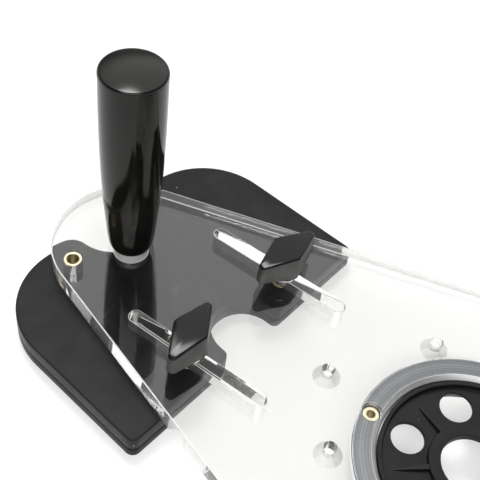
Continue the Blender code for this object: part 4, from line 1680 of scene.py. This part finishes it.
@dataclass
class Clamp(SubAssembly):
    """One clamp: a wing knob, its threaded stud and its washer."""

    side: str
    stud: Point
    bearing: float
    body: Body
    washer_body: Body
    half_length: float = 0.0265
    half_width: float = 0.0106
    corner_radius: float = 0.0032
    corner_spacing: float = 8.0
    height: float = 0.0192
    draft_in: float = 0.0005
    crown: float = 0.0035
    crown_power: int = 3
    wing_rise: float = 0.0058
    wing_power: int = 2
    edge_round: float = 0.0009
    edge_steps: int = 5
    ring_shares: tuple[float, ...] = (0.15, 0.3, 0.45, 0.6, 0.7, 0.8, 0.87, 0.94)
    hub_radius: float = 0.0072
    hub_height: float = 0.0016
    washer_radius: float = 0.0085
    washer_thickness: float = 0.0015
    washer_round: float = 0.0003
    stud_embed: float = 0.0120
    stud_chamfer: float = 0.0004

    def outline(self) -> Outline:
        """Return the knob's rhombus, long side along X.

        Returns:
            The outline, of four round corners.
        """
        edge = math.hypot(self.half_length, self.half_width)
        tip_angle = math.degrees(math.atan2(self.half_width, self.half_length))
        tip = self.half_length - self.corner_radius * edge / self.half_width
        side = self.half_width - self.corner_radius * edge / self.half_length
        tip_turn, side_turn = 180 - 2 * tip_angle, 2 * tip_angle
        arcs = []
        for x, y, middle, turn in (
            (tip, 0.0, 0, tip_turn), (0.0, side, 90, side_turn),
            (-tip, 0.0, 180, tip_turn), (0.0, -side, 270, side_turn),
        ):
            arcs.append(Arc(x, y, self.corner_radius, middle - turn / 2, turn))
        return Outline(tuple(arcs), self.corner_spacing)

    def wing(self, low: float, high: float) -> Item:
        """Make the knob's wing: crowned above, with an underside that rises to its tips.

        Args:
            low: The lowest point of its underside.
            high: Its highest point.

        Returns:
            The wing, about Z.
        """
        outline, draft = self.outline(), MeshDraft()
        levels = [(self.edge_round, 0.0, share) for share in self.ring_shares]
        levels += [(*step, 1.0) for step in reversed(rim_steps(self.edge_round, self.edge_steps))]
        under = (levels, 0.0, low, 1, self.wing_rise, self.wing_power)
        over = (reversed(levels), self.draft_in, high, -1, self.crown, self.crown_power)
        rings = []
        for order, drawn, base, sign, bow, power in (under, over):
            for inset, drop, share in order:
                points = [(x * share, y * share) for x, y in outline.trace(drawn + inset)]
                bows = [sign * bow * abs(x / self.half_length) ** power for x, _ in points]
                rings.append(draft.ring((*p, base + b + sign * drop) for p, b in zip(points, bows)))
        # The sides and the underside take the paler finish, whose colour is painted light.
        draft.skin(rings[: len(levels) + 1], 1)
        draft.skin(rings[len(levels) :])
        for ring, height, material in ((rings[0], low, 1), (rings[-1], high, 0)):
            centre = draft.ring([(0.0, 0.0, height)])[0]
            for index in range(len(ring)):
                draft.face((ring[index], ring[(index + 1) % len(ring)], centre), material)
        return draft.finish(f"knob_{self.side}_black", self.finish(Look.KNOB, Look.GRAINED_LIT))

    def build(self) -> None:
        """Build the clamp and seat its pieces."""
        datum, gap, ease = self.datum, self.datum.gap, self.washer_round
        steel, grained_lit = self.finish(Look.STEEL), self.finish(Look.GRAINED_LIT)
        tapped, pose = datum.thread_radius + gap, standing(self.stud, self.bearing)
        low = datum.plate_top + gap
        hub_low = low + self.washer_thickness + gap
        section = band(tapped, self.washer_radius, low, low + self.washer_thickness, (ease, ease))
        washer = turned(f"washer_{self.side}_steel", section, steel, steps=64)
        washer.data.transform(standing(self.stud, 0.0))
        seat(washer, self.washer_body, Slot.STEEL, f"clamp_washer_{self.side}")
        body_low, stud_top = hub_low + self.hub_height, hub_low + self.stud_embed
        knob = self.wing(body_low, hub_low + self.height)
        fillet, radius = self.edge_round, self.hub_radius
        hub = [(radius - fillet / 2, hub_low), (radius, hub_low + fillet / 2), (radius, body_low)]
        hub += [(radius + fillet, body_low + fillet), (radius, body_low + datum.overrun)]
        bore = [(tapped, hub_low - datum.overrun), (tapped, stud_top + gap)]
        carve(knob, turned("hub_join", solid(*hub), grained_lit, steps=64), operation="UNION")
        carve(knob, turned("bore_cutter", solid(*bore), grained_lit))
        core, ridge = self.fasteners.bar(datum.foot_layer + gap, stud_top, self.stud_chamfer)
        stud = join(f"stud_{self.side}_steel", (turned("stud_core", solid(*core), steel), ridge))
        for item, slot, node in ((knob, Slot.GLOSS, "knob"), (stud, Slot.STEEL, "stud")):
            item.data.transform(pose)
            seat(item, self.body, slot, f"clamp_{node}_{self.side}")


# Stage


@dataclass(frozen=True)
class Glow:
    """A soft bright patch of the surroundings.

    Its direction needs no length, and its angles count from that direction.
    """

    direction: tuple[float, float, float]
    full: float
    end: float
    strength: float


@dataclass
class Studio:
    """The pale floor, the soft surroundings and the camera."""

    floor_finish: Material
    floor_half: float = 3.0
    floor_level: float = -0.0002
    floor_cells: int = 8
    camera_place: tuple[float, float, float] = (0.07984, -0.27183, 0.44797)
    azimuth: float = 29.42
    elevation: float = 49.3
    roll: float = 8.44
    focal_pixels: float = 946.41
    sensor: float = 36.0
    clip_start: float = 0.01
    low_light: float = 2.2
    high_light: float = 0.12
    haze_height: float = 0.3
    sky_colour: Colour = (1.0, 1.0, 0.99)
    glows: tuple[Glow, ...] = (
        Glow((-0.26, 0.56, 0.82), 20.0, 36.0, 1.6),
        Glow((-0.27, 0.24, 0.932), 4.0, 9.0, 21.0),
        Glow((-1.0, -0.1, 0.35), 12.0, 45.0, 0.3),
    )
    lamp_elevation: float = 57.0
    lamp_distance: float = 2.6
    lamp_size: Point = (2.2, 0.5)
    lamp_power: float = 31.0

    def towards(self, elevation: float) -> Vector:
        """Return the direction at an elevation above the camera's azimuth."""
        az, el = math.radians(self.azimuth), math.radians(elevation)
        return Vector((math.sin(az) * math.cos(el), -math.cos(az) * math.cos(el), math.sin(el)))

    def build_floor(self) -> None:
        """Build the floor as a fine sheet."""
        draft, cells = MeshDraft(), self.floor_cells
        bmesh.ops.create_grid(draft.data, x_segments=cells, y_segments=cells, size=self.floor_half)
        draft.data.transform(Matrix.Translation((0.0, 0.0, self.floor_level)))
        draft.finish("floor_sheet", [self.floor_finish])

    def build_world(self) -> None:
        """Fill the surroundings with a soft light, brighter low down and in each glow."""
        world = bpy.data.worlds.new("studio_air")
        bpy.context.scene.world = world
        world.use_nodes = True
        air = NodeFiller(world.node_tree)
        place = air.node("ShaderNodeTexCoord").outputs["Generated"]
        height = air.node("ShaderNodeSeparateXYZ", {0: place}).outputs[2]
        inputs = {0: height, 2: self.haze_height, 3: self.low_light, 4: self.high_light}
        light = air.value("ShaderNodeMapRange", inputs)
        for glow in self.glows:
            inputs = {0: place, 1: tuple(Vector(glow.direction).normalized())}
            facing = air.node("ShaderNodeVectorMath", inputs, operation="DOT_PRODUCT").outputs["Value"]
            end, full = math.cos(math.radians(glow.end)), math.cos(math.radians(glow.full))
            inputs = {0: facing, 1: end, 2: full, 4: glow.strength}
            patch = air.value("ShaderNodeMapRange", inputs, interpolation_type="SMOOTHSTEP")
            light = air.compute("ADD", light, patch)
        air.feed(world.node_tree.nodes["Background"], {"Color": self.sky_colour, "Strength": light})

    def build_lamp(self) -> None:
        """Add the soft lamp just above the camera."""
        lamp = bpy.data.lights.new("lamp_front", "AREA")
        lamp.shape = "RECTANGLE"
        lamp.size, lamp.size_y = self.lamp_size
        lamp.energy = self.lamp_power
        item = bpy.data.objects.new("lamp_front", lamp)
        back = self.towards(self.lamp_elevation)
        item.location = back * self.lamp_distance
        item.rotation_euler = back.to_track_quat("Z", "Y").to_euler()
        bpy.context.scene.collection.objects.link(item)

    def build_camera(self) -> None:
        """Add the camera at the photograph's angle."""
        az, roll = math.radians(self.azimuth), math.radians(self.roll)
        back, right = self.towards(self.elevation), Vector((math.cos(az), math.sin(az), 0.0))
        up = back.cross(right)
        rolled_right = right * math.cos(roll) + up * math.sin(roll)
        rolled_up = up * math.cos(roll) - right * math.sin(roll)
        lens = bpy.data.cameras.new("camera_lens")
        lens.sensor_width = self.sensor
        lens.lens = self.focal_pixels * self.sensor / IMAGE_SIDE
        lens.clip_start = self.clip_start
        camera = bpy.data.objects.new("camera", lens)
        turn = Matrix((rolled_right, rolled_up, back)).transposed().to_4x4()
        camera.matrix_world = Matrix.Translation(self.camera_place) @ turn
        bpy.context.scene.collection.objects.link(camera)
        bpy.context.scene.camera = camera

    def build(self) -> None:
        """Build the whole stage."""
        view = bpy.context.scene.view_settings
        view.view_transform = "Standard"
        view.look = "None"
        self.build_floor()
        self.build_world()
        self.build_lamp()
        self.build_camera()


def main() -> None:
    """Build every sub-assembly and the stage, in order."""
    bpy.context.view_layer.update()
    datum = Datum()
    looks = make_looks(datum)
    kit = (datum, looks, Fasteners(datum, looks))
    ring = OpeningRing(*kit)
    BasePlate(*kit).build(ring)
    for piece in (ring, GuideDisc(*kit), HandGrip(*kit), StabiliserFoot(*kit)):
        piece.build()
    Clamp(*kit, "left", datum.left_stud, datum.left_bearing, Body.CLAMP_LEFT, Body.CARRIAGE).build()
    Clamp(*kit, "right", datum.right_stud, datum.right_bearing, Body.CLAMP_RIGHT, Body.CLAMP_RIGHT).build()
    Studio(looks[Look.FLOOR]).build()


if __name__ == "__main__":
    main()
